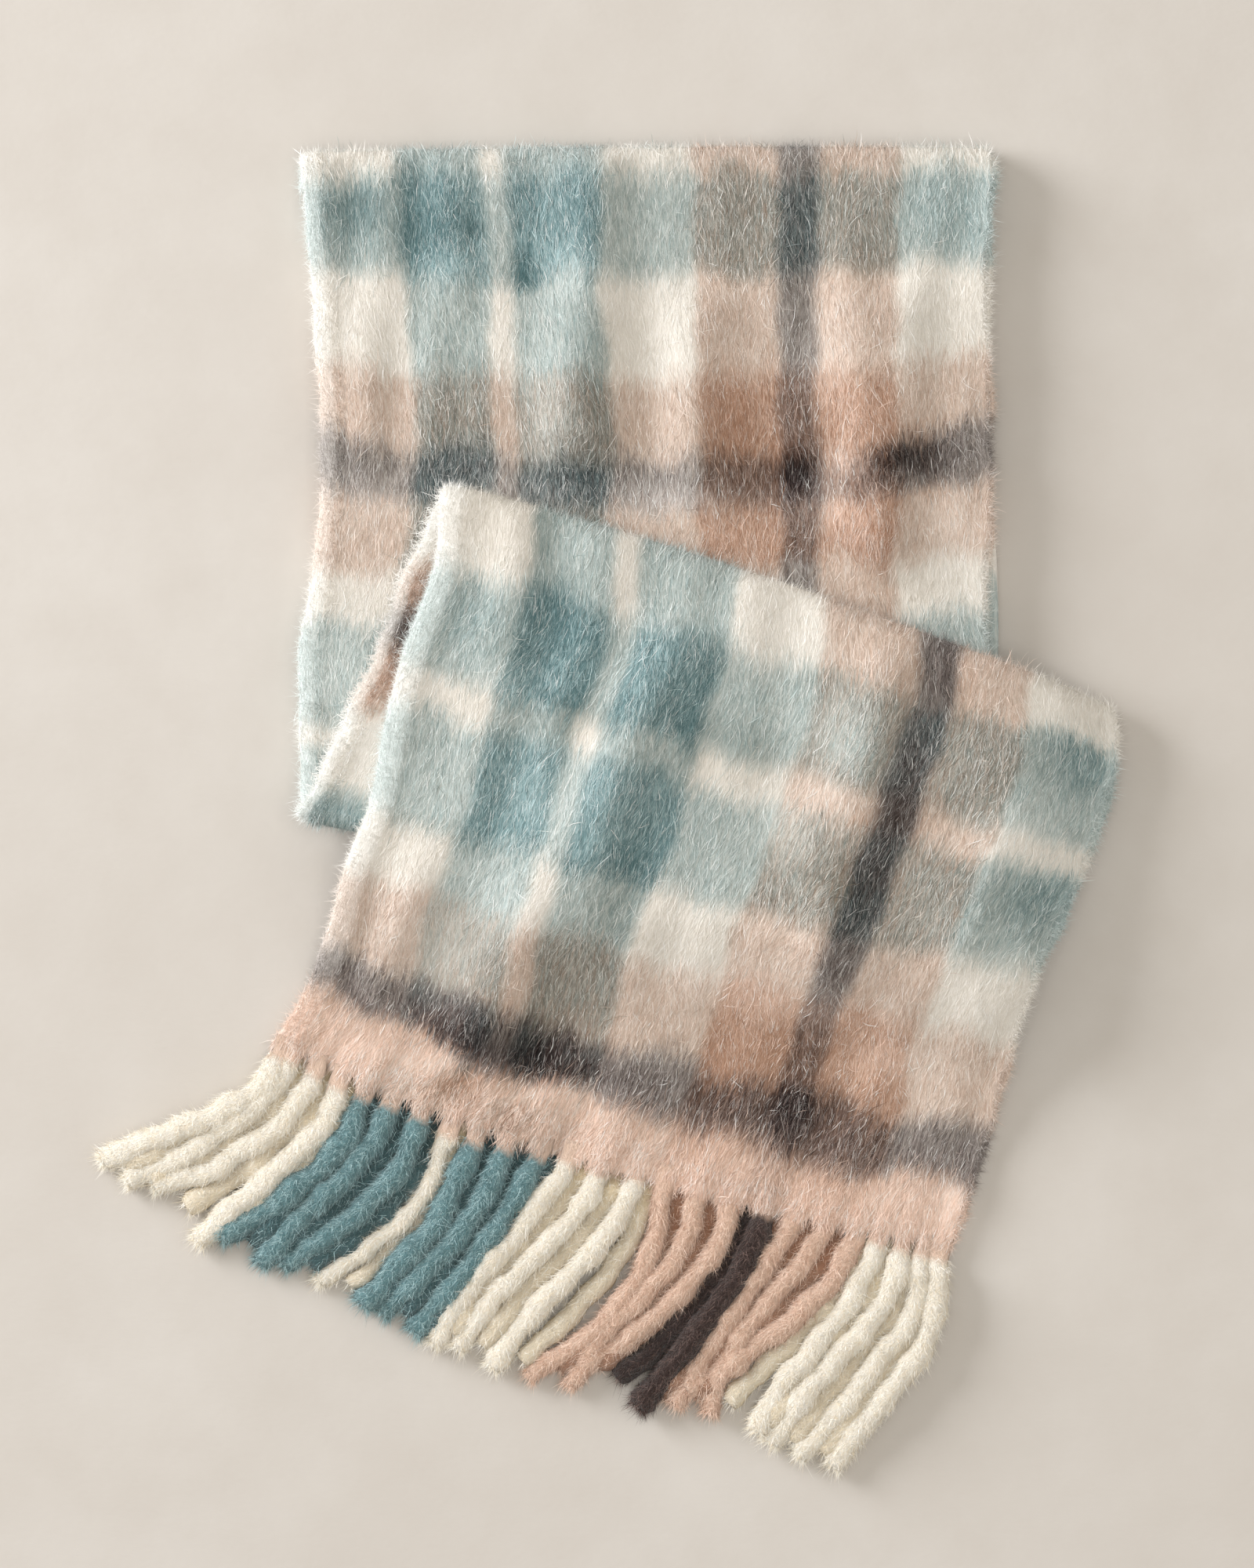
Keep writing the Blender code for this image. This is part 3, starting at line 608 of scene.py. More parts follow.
class Stretch:
    """One stretch of the cloth: sections in order of their station along the cloth."""

    def __init__(self, underside, lift, edge, marks):
        self.underside = underside
        self.lift = lift
        self.edge = edge
        self.marks = marks
        self.sections = []
        self.station = []

    def plan(self, row, station):
        """The plan of a section, with the waves of its edges."""
        selvedge = np.where(OFFSET > 0.0, waves(UPPER_SELVEDGE, station), waves(LOWER_SELVEDGE, station))
        waved = waves(self.edge, station) * np.exp(-CLOTH_X * NOSE_HOLD)
        waved = waved + selvedge * np.exp((CLOTH_X - 1.0) * SELVEDGE_HOLD)
        return row_points(row, SHARE) + row_across(row) * (ASIDE + waved)[:, None]

    def add_flat(self, row, station, thinning=1.0, back=0.0):
        """A section of the flat cloth, at the hem made thinner and drawn back towards the row before it."""
        plan = self.plan(row, station) + row_up(row) * np.broadcast_to(back, len(SHARE))[:, None]
        middle = np.sign(OFFSET) * (SLIT + PLY) / 2.0
        offset = middle + (OFFSET - middle) * thinning
        lift = self.lift(plan, CLOTH_X * CLOTH_HALF, station) * LIFTS
        height = self.underside(plan) + DOUBLED / 2.0 + offset + lift
        self.sections.append(np.column_stack([plan, height]))
        self.station.append(station)

    def add_fold(self, line, outward, radius_at):
        """The sections round a fold, from its lower limb up to the flat cloth."""
        for degrees in FOLD_TURNS:
            turn = math.radians(degrees)
            radius = radius_at(self.plan(line, 0.0))
            station = float(-math.radians(90.0 - degrees) * (np.mean(radius) + DOUBLED / 2.0))
            plan = self.plan(line, station)
            blend = smoothstep((degrees - FOLD_LIFT_START) / FOLD_LIFT_RISE)
            lift = self.lift(plan, CLOTH_X * CLOTH_HALF, 0.0) * LIFTS * blend
            reach = (radius + OFFSET) * math.cos(turn)
            height = self.underside(plan) + DOUBLED / 2.0 - radius
            height = height + (radius + OFFSET) * math.sin(turn) + lift
            self.sections.append(np.column_stack([plan + outward * reach[:, None], height]))
            self.station.append(station)


# The bake map: the shell between its two caps, each with its own strip for the depth of the cloth
SHELL_START, SHELL_SPAN = 0.02, 0.96
CAP_STARTS, CAP_SPAN, CAP_WIDTH = (0.0, 0.982), 0.018, 0.98
SEAM_WIDTH = 0.01
OFFSET_SHARE = 0.003  # share of the cloth's width that a mm of its depth counts as


def closed_shell(name, stretch, shown_material):
    """The closed mesh through a stretch's sections, with its plaid and bake maps."""
    grid = np.array(stretch.sections)
    rows, columns = grid.shape[:2]
    quads, low, ring = tube_quads(rows, columns)
    around = np.cumsum(np.abs(np.diff(CLOTH_X)) + np.abs(np.diff(OFFSET)) * OFFSET_SHARE)
    around = np.array([0.0, *around, around[-1] + SEAM_WIDTH])
    along = np.arange(rows) / (rows - 1) * SHELL_SPAN + SHELL_START
    bakes = [tube_map(around / around[-1], along, low, ring)]
    corners = [quads.ravel()]
    starts = [np.arange(len(quads)) * 4]
    filled = quads.size
    for row, base in zip((0, rows - 1), CAP_STARTS, strict=True):
        for face in cap_faces():
            face = np.array(face if row else face[::-1])
            corners.append(face + row * columns)
            starts.append([filled])
            filled += len(face)
            depth = (OFFSET[face] / DOUBLED + 0.5) * CAP_SPAN
            bakes.append(np.column_stack([CLOTH_X[face] * CAP_WIDTH, base + depth]))
    corners = np.concatenate(corners)
    mesh = face_mesh(name, to_frame(grid.reshape(-1, 3)), corners, np.concatenate(starts))
    plan = grid[..., :2].reshape(-1, 2)
    place = np.stack(np.broadcast_arrays(CLOTH_X, np.array(stretch.station)[:, None]), -1).reshape(-1, 2)
    set_uv(mesh, "plaid", marked_place(place, plan, stretch.marks)[corners] * PLAID_UNIT)
    set_uv(mesh, "OFBake", np.concatenate(bakes))
    # frost marks: raised pale fibres or worn ground, in part painted light and painted shade of the folds
    set_values(mesh, "frost", patch_sum(plan, stretch.marks.frost))
    set_values(mesh, "weft", patch_sum(plan, stretch.marks.weft))
    face_out(mesh)
    return new_object(name, mesh, shown_material)


def cap_faces():
    """Faces that close a section, as ring indices: each ply between its outer and slit sides."""
    index = np.arange(len(LAYER))
    top = index[(LAYER == "top") | (LAYER == "nose")]
    slit, bottom, lap, edge = (index[LAYER == layer] for layer in ("slit", "under", "lap", "edge"))
    split = len(slit) // 2
    slit_low, slit_end, slit_high = slit[:split], slit[split], slit[split + 1 :]
    outer = [*edge[:2], *top]
    selvedge = edge[2:]
    faces = [[*selvedge, *edge[:2]]]
    faces += strip_faces(outer[1:-3], [selvedge[0], *slit_high[::-1]])
    faces.append([*outer[-4:], *bottom[:5], slit_low[-1], slit_end, slit_high[0]])
    faces += strip_faces(slit_low[::-1], bottom[4:])
    faces.append([bottom[-1], *lap, slit_low[0]])
    return [[int(i) for i in dict.fromkeys(face)] for face in faces]


def strip_faces(first, second):
    """Triangles between two chains of ring points that run the same way, by their place across."""
    faces = []
    i = j = 0
    rising = CLOTH_X[first[-1]] > CLOTH_X[first[0]]
    while i < len(first) - 1 or j < len(second) - 1:
        take_first = j == len(second) - 1
        if not take_first and i < len(first) - 1:
            ahead_first, ahead_second = CLOTH_X[first[i + 1]], CLOTH_X[second[j + 1]]
            take_first = ahead_first < ahead_second if rising else ahead_first > ahead_second
        if take_first:
            faces.append([first[i], first[i + 1], second[j]])
            i += 1
        else:
            faces.append([first[i], second[j + 1], second[j]])
            j += 1
    return faces


# --- the three stretches

UNDULATION = 0.9
MIDDLE_UNDULATION = 0.7
# Unevenness of the upper plies: seed, and waves in mm across and along
BACK_WAVES = 11, 34.0, 150.0
MIDDLE_WAVES = 12, 30.0, 60.0
FRONT_WAVES = 13, 32.0, 130.0
MIDDLE_FREE, MIDDLE_FREE_RISE = -2.0, 12.0  # from where outside the front stretch the middle one's sets in
# Millimetres over which the waves set in from the lengthwise fold and from the selvedges
NOSE_CALM, SELVEDGE_CALM = 16.0, 10.0
# Waves of the edges: height, millimetres along for a radian, and start
BACK_EDGE = (0.7, 19.0, 0.0), (0.4, 7.3, 1.0)
MIDDLE_EDGE = (1.0, 9.5, 0.6), (0.7, 4.1, 0.0)
FRONT_EDGE = (0.7, 23.0, 2.0), (0.35, 8.7, 0.0)
UPPER_SELVEDGE = (0.9, 11.0, 0.0), (0.6, 4.3, 1.0)
LOWER_SELVEDGE = (0.9, 9.0, 2.0), (0.6, 5.1, 0.0)


def waves(table, station):
    """How far a table of waves moves an edge out at this station."""
    return sum(height * math.sin(station / length + start) for height, length, start in table)


def edge_fade(x):
    return smoothstep(x / NOSE_CALM) * smoothstep((CLOTH_HALF - x) / SELVEDGE_CALM)


def back_lift(plan, x, station):
    outside = outside_middle(plan).max(axis=0)
    free = smoothstep((outside - COVERED_MARGIN) / RIDGE_FADE)
    wave = UNDULATION * soft_noise(x, station, *BACK_WAVES) * edge_fade(x)
    return (ridge_lift(plan, BACK_RIDGES) + wave) * free


def middle_lift(plan, x, station):
    free = smoothstep((outside_front(plan).max(axis=0) - MIDDLE_FREE) / MIDDLE_FREE_RISE)
    return MIDDLE_UNDULATION * soft_noise(x, station, *MIDDLE_WAVES) * edge_fade(x) * free


def front_lift(plan, x, station):
    wave = UNDULATION * soft_noise(x, station, *FRONT_WAVES) * edge_fade(x)
    return ridge_lift(plan, FRONT_RIDGES) + wave


def add_rows(made, rows):
    """The flat sections of a stretch, along the rows of a table."""
    rows, places = smooth_rows(rows, ROW_PITCH)
    for row, station in zip(rows[1:], places[1:], strict=True):
        made.add_flat(row, float(station))


def back_sections():
    made = Stretch(back_underside, back_lift, BACK_EDGE, BACK_MARKS)
    up = row_up(TOP_FOLD_LINE)
    made.add_fold(TOP_FOLD_LINE, up, lambda plan: np.full(len(plan), TOP_FOLD_RADIUS))
    first = made.sections[0]
    for part in (0.5, 1.0):
        made.sections.insert(0, first - np.array([*(up * LOWER_LIMB * part), 0.0]))
        made.station.insert(0, made.station[0] - LOWER_LIMB / 2.0)
    add_rows(made, BACK_LINES)
    return made


def middle_sections():
    made = Stretch(middle_underside, middle_lift, MIDDLE_EDGE, MIDDLE_MARKS)
    outward = -row_up(BOTTOM_FOLD_LINE)
    made.add_fold(BOTTOM_FOLD_LINE, outward, lambda plan: np.full(len(plan), FOLD_RADIUS))
    add_rows(made, MIDDLE_LINES)
    return made


HEM_RELIEF = 0.7
HEM_RELIEF_REACH = 24.0
# Sections round the hem's edge: share of its rounding, and of the ply's thickness
HEM_EDGE = (0.5, 0.93), (0.86, 0.72), (1.0, 0.45)
SCALLOP = 1.7
SCALLOP_HALF = 2.6
SCALLOP_RISE = 14.0


def hem_relief(roots, share, station, end):
    """Ridges of the bundles of warp near the hem, each running into its strand."""
    roots = np.sort(np.asarray(roots))
    number = np.interp(share, roots, np.arange(len(roots)), left=-0.5, right=len(roots) - 0.5)
    near = smoothstep((station - end + HEM_RELIEF_REACH) / HEM_RELIEF_REACH)
    return HEM_RELIEF * near * np.cos(2.0 * math.pi * number)


def front_sections(roots):
    made = Stretch(front_underside, front_lift, FRONT_EDGE, FRONT_MARKS)
    outward = row_up(UPPER_FOLD_LINE)
    made.add_fold(UPPER_FOLD_LINE, outward, lambda plan: FOLD_RADIUS + drape_room(plan) / 2.0)
    rows, places = smooth_rows(FRONT_LINES, ROW_PITCH)
    made.lift = lambda plan, x, station: front_lift(plan, x, station) + hem_relief(
        roots, x / CLOTH_HALF, station, places[-1]
    )
    scallop = scallops(roots)
    for row, station in zip(rows[1:], places[1:], strict=True):
        near = float(smoothstep((station - places[-1] + SCALLOP_RISE) / SCALLOP_RISE))
        made.add_flat(row, float(station), back=scallop * near)
    for step, thinning in HEM_EDGE:
        row = moved_row(FRONT_LINES[-1], -HEM_ROUND * step)
        made.add_flat(row, float(places[-1] + HEM_ROUND * step), thinning, back=scallop)
    return made


def scallops(roots):
    """How far the hem draws back between the roots of the strands, at each ring point."""
    roots = np.sort(np.asarray(roots))
    between = (roots[1:] + roots[:-1]) / 2.0
    nearest = np.abs(CLOTH_X[:, None] - between[None, :]).min(axis=1) * CLOTH_HALF
    return SCALLOP * (2.0 * np.exp(-((nearest / SCALLOP_HALF) ** 2)) - 0.6)


# --- nap

FIBRE_JOINTS = (0.0, 1.0), (0.0, 0.52, 1.0), (0.0, 0.36, 0.7, 1.0)
ROOT_WIDTH = 0.75  # share of a fibre's width
TIP_BEND = -0.8  # of its curl
TIP_RISE = 0.35  # share of its rise, where it has joints between


def fibre_mesh(name, root, forward, normal, length, width, lift, curl, roll, uv, tone, joints):
    """Flat tapering fibres in one mesh, each with this many joints along it."""
    count = len(root)
    side = np.cross(forward, normal)
    side /= np.linalg.norm(side, axis=1)[:, None]
    flat = side * np.cos(roll)[:, None] + normal * np.sin(roll)[:, None]
    length, width, lift = length[:, None], width[:, None], lift[:, None]
    curl = curl[:, None]

    def at(share, bend):
        bow = 4.0 * share * (1.0 - share)
        path = root + forward * length * share + side * length * (curl * bow + bend * share)
        return path + normal * lift * np.minimum(1.0, bow + (TIP_RISE if joints else 1.0) * share)

    tip_bend = curl * TIP_BEND
    half = flat * width / 2.0
    places = FIBRE_JOINTS[joints]
    points = []
    for share in places[:-1]:
        middle = at(share, tip_bend)
        narrow = ROOT_WIDTH if share == 0.0 else 1.0
        points += [middle - half * narrow, middle + half * narrow]
    points.append(at(1.0, tip_bend))
    per = len(points)
    points = np.stack(points, axis=1).reshape(-1, 3)
    faces = []
    for k in range(0, per - 3, 2):
        faces += [(k, k + 1, k + 3), (k, k + 3, k + 2)]
    faces.append((per - 3, per - 2, per - 1))
    corners = (np.arange(count)[:, None, None] * per + np.array(faces)).ravel()
    starts = np.arange(0, len(corners), 3)
    mesh = face_mesh(name, to_frame(points), corners, starts)
    if uv is not None:
        set_uv(mesh, "plaid", np.repeat(uv, per, axis=0)[corners] * PLAID_UNIT)
    set_values(mesh, "strand", np.repeat(tone, per))
    return mesh


SHOWN = "top", "nose", "edge"
MIDDLE_COLUMN = 20  # of the upper ply, whose faces look up


def sample_cloth(stretch, count, seed, keep, layers):
    """Seeded places on the shown sides of a shell: point, along, normal and plaid coordinates."""
    rng = np.random.default_rng(seed)
    grid = np.array(stretch.sections)
    station = np.array(stretch.station)
    closed = np.concatenate([grid, grid[:, :1]], axis=1)
    cloth_x = np.append(CLOTH_X, CLOTH_X[0])
    layer = np.append(LAYER, LAYER[0])
    along = closed[1:, :-1] - closed[:-1, :-1]
    across = closed[:-1, 1:] - closed[:-1, :-1]
    normal = np.cross(along, across)
    area = np.linalg.norm(normal, axis=2)
    centre = (closed[1:, :-1] + closed[:-1, 1:]) / 2.0
    shown = np.isin(layer[:-1], layers) & np.isin(layer[1:], (*layers, "under"))
    weight = area * shown[None, :]
    weight = weight * keep(centre[..., :2].reshape(-1, 2)).reshape(area.shape)
    flat = weight.ravel() / weight.sum()
    cell = rng.choice(len(flat), size=count, p=flat)
    r, c = np.unravel_index(cell, area.shape)
    f, g = rng.random(count)[:, None], rng.random(count)[:, None]
    point = closed[r, c] * (1 - f) * (1 - g) + closed[r + 1, c] * f * (1 - g)
    point = point + closed[r, c + 1] * (1 - f) * g + closed[r + 1, c + 1] * f * g
    sign = np.sign(normal[len(grid) // 2, np.flatnonzero(LAYER == "top")[MIDDLE_COLUMN], 2])
    n = normal[r, c] * sign / np.maximum(area[r, c], 1e-9)[:, None]
    t = along[r, c] / np.maximum(np.linalg.norm(along[r, c], axis=1), 1e-9)[:, None]
    place = np.column_stack(
        [
            cloth_x[c] * (1 - g[:, 0]) + cloth_x[c + 1] * g[:, 0],
            station[r] * (1 - f[:, 0]) + station[r + 1] * f[:, 0],
        ]
    )
    return point, t, n, place


# Kinds of fibre: joints, usual length and its spread, shortest and longest, thinnest and broadest, least
# rise, what usually comes on top of it, most rise, and curl
Kind = collections.namedtuple(
    "Kind", "joints usual spread shortest longest thin broad rise more_rise highest curl"
)
STRAIGHT = Kind(0, 5.4, 0.38, 2.0, 11.0, 0.10, 0.20, 0.1, 0.25, 2.2, 0.0)
CURVED = Kind(1, 6.2, 0.35, 2.5, 11.0, 0.14, 0.25, 0.1, 0.18, 2.2, 0.055)
LONG = Kind(2, 8.4, 0.30, 4.0, 14.0, 0.13, 0.21, 0.2, 0.22, 2.2, 0.07)
EDGE = Kind(0, 3.0, 0.45, 1.0, 7.0, 0.18, 0.32, 0.0, 0.0, 2.2, 0.0)
TUFT = Kind(1, 3.0, 0.50, 1.2, 7.0, 0.14, 0.26, 0.1, 0.4, 2.2, 0.25)
FUZZ = Kind(0, 3.6, 0.40, 1.2, 8.5, 0.20, 0.32, 0.4, 1.2, 4.2, 0.0)
COMB_TURN = 0.13  # by which the nap's lie wanders, in radians
LEAN = math.radians(15.0)  # usual lean of a fibre from that lie
FAN = math.radians(48.0)  # the same along an edge
STRAY_SHARE = 0.07  # of the fibres, which lie any way
TURNED_SHARE = 0.3  # of the fibres, which point back
ROLL = 0.6  # radians that a fibre's flat side usually turns
ROOT_DEPTH = 0.1
COMB_SEED, COMB_WAVES = 21, (26.0, 34.0)
BORDER_STRAY = 0.0035, 3.0  # by which a fibre takes another place's colour, in cloth coordinates
DOWN, HEMWARD, OUT = "down", "hemward", "out"


def fibre_sizes(rng, kind, count):
    """Lengths, widths and rises of fibres of one kind."""
    length = np.clip(rng.lognormal(math.log(kind.usual), kind.spread, count), kind.shortest, kind.longest)
    width = rng.uniform(kind.thin, kind.broad, count)
    return length, width, np.minimum(kind.rise + kind.more_rise * rng.exponential(1.0, count), kind.highest)


def nap_lie(rng, heading, along, normal, place):
    """Directions in which fibres lie, and what they rise along."""
    count = len(place)
    if heading == OUT:
        angle = rng.normal(0.0, FAN, count)
        return normal * np.cos(angle)[:, None] + along * np.sin(angle)[:, None], np.cross(along, normal)
    if heading == HEMWARD:
        along = -along
    angle = rng.normal(0.0, LEAN, count)
    stray = rng.random(count) < STRAY_SHARE
    angle = np.where(stray, rng.uniform(-math.pi, math.pi, count), angle)
    angle += COMB_TURN * soft_noise(place[:, 0] * CLOTH_HALF, place[:, 1], COMB_SEED, *COMB_WAVES)
    angle += np.where(rng.random(count) < (0.0 if heading == HEMWARD else TURNED_SHARE), math.pi, 0.0)
    side = np.cross(normal, along)
    return -along * np.cos(angle)[:, None] + side * np.sin(angle)[:, None], normal


def nap_piece(stretch, row, shown_material):
    """One kind of a stretch's nap, as one piece."""
    kind, count = row.kind, row.count
    point, along, normal, place = sample_cloth(stretch, count, row.seed, row.keep, row.layers)
    rng = np.random.default_rng(row.seed + 1)
    forward, normal = nap_lie(rng, row.heading, along, normal, place)
    length, width, lift = fibre_sizes(rng, kind, count)
    curl = rng.normal(0.0, 1.0, count) * kind.curl
    roll = rng.normal(0.0, ROLL, count)
    uv = marked_place(place, point[:, :2], stretch.marks)
    uv[:, 0] = np.clip(uv[:, 0] + rng.normal(0.0, BORDER_STRAY[0], count), 0.0, 1.0)
    uv[:, 1] += rng.normal(0.0, BORDER_STRAY[1], count)
    tone = rng.random(count)
    root = point - normal * (0.0 if row.heading == OUT else ROOT_DEPTH)
    mesh = fibre_mesh(row.name, root, forward, normal, length, width, lift, curl, roll, uv, tone, kind.joints)
    for name, patches in (("frost", stretch.marks.frost), ("weft", stretch.marks.weft)):
        set_values(mesh, name, np.repeat(patch_sum(point[:, :2], patches), len(mesh.vertices) // count))
    keep_up(mesh)
    made = new_object(row.name, mesh, shown_material)
    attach(made, "root")
    return made


# --- node helpers


class Value:
    """A number in a node tree. Sums with it add the maths nodes that work them out."""

    def __init__(self, nodes, socket):
        self.nodes = nodes
        self.socket = socket

    def __add__(self, other):
        return self.nodes.maths("ADD", self, other)

    def __sub__(self, other):
        return self.nodes.maths("SUBTRACT", self, other)

    def __rsub__(self, other):
        return self.nodes.maths("SUBTRACT", other, self)

    def __mul__(self, other):
        return self.nodes.maths("MULTIPLY", self, other)

    def __rmul__(self, other):
        return self.nodes.maths("MULTIPLY", other, self)

    def __truediv__(self, other):
        return self.nodes.maths("DIVIDE", self, other)

    def clamped(self):
        """This sum, kept between 0 and 1."""
        self.socket.node.use_clamp = True
        return self


class Nodes:
    """Short-hand for building one material's node tree."""

    def __init__(self, name):
        self.material = bpy.data.materials.new(name)
        self.material.use_nodes = True
        self.tree = self.material.node_tree
        self.shader = self.tree.nodes["Principled BSDF"]

    def add(self, kind, **values):
        node = self.tree.nodes.new(kind)
        for key, value in values.items():
            setattr(node, key, value)
        return node

    def out(self, node, output=0):
        return Value(self, node.outputs[output])

    def put(self, socket, value):
        """Gives a socket what another node makes, or a number or colour of its own."""
        if isinstance(value, Value):
            self.tree.links.new(value.socket, socket)
        else:
            socket.default_value = value

    def map(self, name):
        return self.out(self.add("ShaderNodeUVMap", uv_map=name))

    def attribute(self, name):
        return self.out(self.add("ShaderNodeAttribute", attribute_name=name), "Fac")

    def split(self, vector):
        node = self.add("ShaderNodeSeparateXYZ")
        self.put(node.inputs[0], vector)
        return self.out(node, 0), self.out(node, 1)

    def maths(self, operation, first, second=None):
        node = self.add("ShaderNodeMath", operation=operation)
        self.put(node.inputs[0], first)
        if second is not None:
            self.put(node.inputs[1], second)
        return self.out(node)

    def mix(self, factor, first, second):
        node = self.add("ShaderNodeMix", data_type="RGBA")
        for index, value in ((0, factor), (6, first), (7, second)):
            self.put(node.inputs[index], value)
        return self.out(node, 2)

    def turned(self, vector, rotation=(0.0, 0.0, 0.0), scale=(1.0, 1.0, 1.0)):
        node = self.add("ShaderNodeMapping")
        self.put(node.inputs["Vector"], vector)
        node.inputs["Rotation"].default_value = rotation
        node.inputs["Scale"].default_value = scale
        return self.out(node)

    def noise(self, vector, scale, detail, roughness=0.5, distortion=0.0):
        """Noise with this many waves a unit each way."""
        node = self.add("ShaderNodeTexNoise")
        self.put(node.inputs["Vector"], self.turned(vector, scale=scale))
        node.inputs["Scale"].default_value = 1.0
        node.inputs["Detail"].default_value = detail
        node.inputs["Roughness"].default_value = roughness
        node.inputs["Distortion"].default_value = distortion
        return self.out(node)

    def ramp(self, factor, stops, interpolation="LINEAR"):
        node = self.add("ShaderNodeValToRGB")
        node.color_ramp.interpolation = interpolation
        elements = node.color_ramp.elements
        while len(elements) > 1:
            elements.remove(elements[-1])
        elements[0].position, elements[0].color = stops[0]
        for position, colour in stops[1:]:
            elements.new(position).color = colour
        self.put(node.inputs[0], factor)
        return self.out(node)

    def bump(self, height, strength, distance):
        node = self.add("ShaderNodeBump")
        node.inputs["Strength"].default_value = strength
        node.inputs["Distance"].default_value = distance
        self.put(node.inputs["Height"], height)
        self.put(self.shader.inputs["Normal"], self.out(node))

    def set(self, **values):
        for key, value in values.items():
            self.put(self.shader.inputs[key.replace("_", " ")], value)


def band_stops(bands, low, high, blur, palette):
    """Ramp stops for bands given as (colour, end), with each border blurred over this width."""
    stops = []
    start = low
    for index, (colour, end) in enumerate(bands):
        first = start + (0.0 if index == 0 else blur / 2.0)
        last = end - (0.0 if index == len(bands) - 1 else blur / 2.0)
        middle = (start + end) / 2.0
        first, last = min(first, middle - 1e-4), max(last, middle)
        stops.append(((first - low) / (high - low), palette[colour]))
        stops.append(((last - low) / (high - low), palette[colour]))
        start = end
    return [(min(max(position, 0.0), 1.0), colour) for position, colour in stops]


WARP_BLUR = 0.017
WEFT_BLUR = 9.0
# Noise over the cloth and, for the lumps, over a strand: waves a metre across and along
LOCKS = 900.0, 95.0, 1.0
DRIFT = 30.0, 14.0, 1.0
SWAY = 17.0, 33.0, 1.0
HAZE = 52.0, 13.0, 1.0
LUMPS = 120.0, 60.0, 1.0
# Metres by which the first three move the borders of the bands
LOCK_PULL, DRIFT_PULL, SWAY_PULL = 0.017, 0.024, 0.012


def plaid_place(nodes, uv):
    """Cloth coordinates in metres whose band borders wander and streak, and the streaks themselves."""
    cloth_x, cloth_y = nodes.split(uv)
    lock = nodes.noise(uv, LOCKS, 3.0, 0.6)
    drift = nodes.noise(uv, DRIFT, 2.0)
    sway = nodes.noise(uv, SWAY, 1.0)
    pull = (lock - 0.5) * LOCK_PULL + (drift - 0.5) * DRIFT_PULL
    return cloth_x, cloth_x + (sway - 0.5) * SWAY_PULL, cloth_y + pull, lock


def plaid_colours(nodes, place_x, place_y, weft_bands, palette):
    """Colours of the warp and of the weft at a place in the cloth, in metres."""
    low, high = weft_bands[0], weft_bands[-1][1]
    warp_stops = band_stops(WARP_BANDS, 0.0, WARP_BANDS[-1][1], WARP_BLUR, palette)
    warp = nodes.ramp(place_x / (CLOTH_HALF * MM), warp_stops)
    weft_stops = band_stops(weft_bands[1:], low, high, WEFT_BLUR, palette)
    return warp, nodes.ramp((place_y - low * MM) / ((high - low) * MM), weft_stops)


# --- weft bands: start, then (colour, end)

back_at = stations(BACK_LINES)
BACK_WEFT = (
    -60.0,
    ("teal", -14.5),
    ("cream", 3.0),
    ("teal", back_at[1]),
    ("cream", back_at[2]),
    ("peach", back_at[3]),
    ("charcoal", back_at[4]),
    ("peach", back_at[5]),
    ("cream", back_at[6]),
    ("teal", back_at[7]),
    ("cream", back_at[7] + 13.9),
    ("teal", back_at[8] + 30.0),
)
middle_at = stations(MIDDLE_LINES)
MIDDLE_WEFT = (
    -60.0,
    ("teal", 5.0),
    ("cream", middle_at[1]),
    ("peach", middle_at[1] + 0.645 * (middle_at[2] - middle_at[1])),
    ("charcoal", middle_at[2]),
    ("peach", middle_at[2] + 0.5 * (middle_at[3] - middle_at[2])),
    ("cream", middle_at[3] + 30.0),
)
front_at = stations(FRONT_LINES)
FRONT_WEFT = (
    -60.0,
    ("cream", front_at[1]),
    ("teal", front_at[2]),
    ("cream", front_at[2] + 15.6),
    ("teal", front_at[3]),
    ("cream", front_at[4]),
    ("peach", front_at[5]),
    ("charcoal", front_at[6]),
    ("peach", front_at[7] + 30.0),
)

# Pale borders, on the lengthwise fold partly a painted highlight where its rounding faces the light: width in
# mm, strength, whiteness
BACK_RIM = 8.0, 0.85, 0.7
MIDDLE_RIM = 6.0, 0.95, 0.9
FRONT_RIM = 12.5, 0.95, 0.7
SELVEDGE_RIM = 5.0, 0.3, 0.4
# Where the weft comes to cover the warp: start, end, how far, and how much paler that makes it
NO_COVERING = -200.0, -190.0, 0.0, 0.0
MIDDLE_COVERING = -200.0, -190.0, 0.28, 0.0
HEM_COVERING = front_at[5] - 8.0, front_at[7] - 8.0, 0.42, 2.6


def weft_cover(nodes, place_y, covering):
    """How much more of the weft than of the warp shows along the cloth, and how much paler that is."""
    start, end, most, paler = covering
    near = nodes.add("ShaderNodeMapRange", interpolation_type="SMOOTHSTEP")
    limits = ("Value", place_y), ("From Min", start * MM), ("From Max", end * MM), ("To Max", most)
    for name, value in limits:
        nodes.put(near.inputs[name], value)
    more = nodes.out(near)
    return more, more * more * paler


BORDER_STOPS = (0.0, (1, 1, 1, 1)), (0.6, (0.9, 0.9, 0.9, 1)), (1.0, (0, 0, 0, 1))


def pale_border_and_highlight(nodes, from_edge, colour, weft_light, showing, border):
    """An edge of the cloth, brushed pale, and on the lengthwise fold partly a painted highlight. The border
    is its width in mm, its strength and its whiteness.
    """
    width, strength, whiteness = border
    mask = nodes.ramp(from_edge / (width * MM), BORDER_STOPS, "EASE") * showing
    pale = nodes.mix(whiteness, weft_light, RIM_WHITE)
    return nodes.mix(mask * strength, colour, pale)


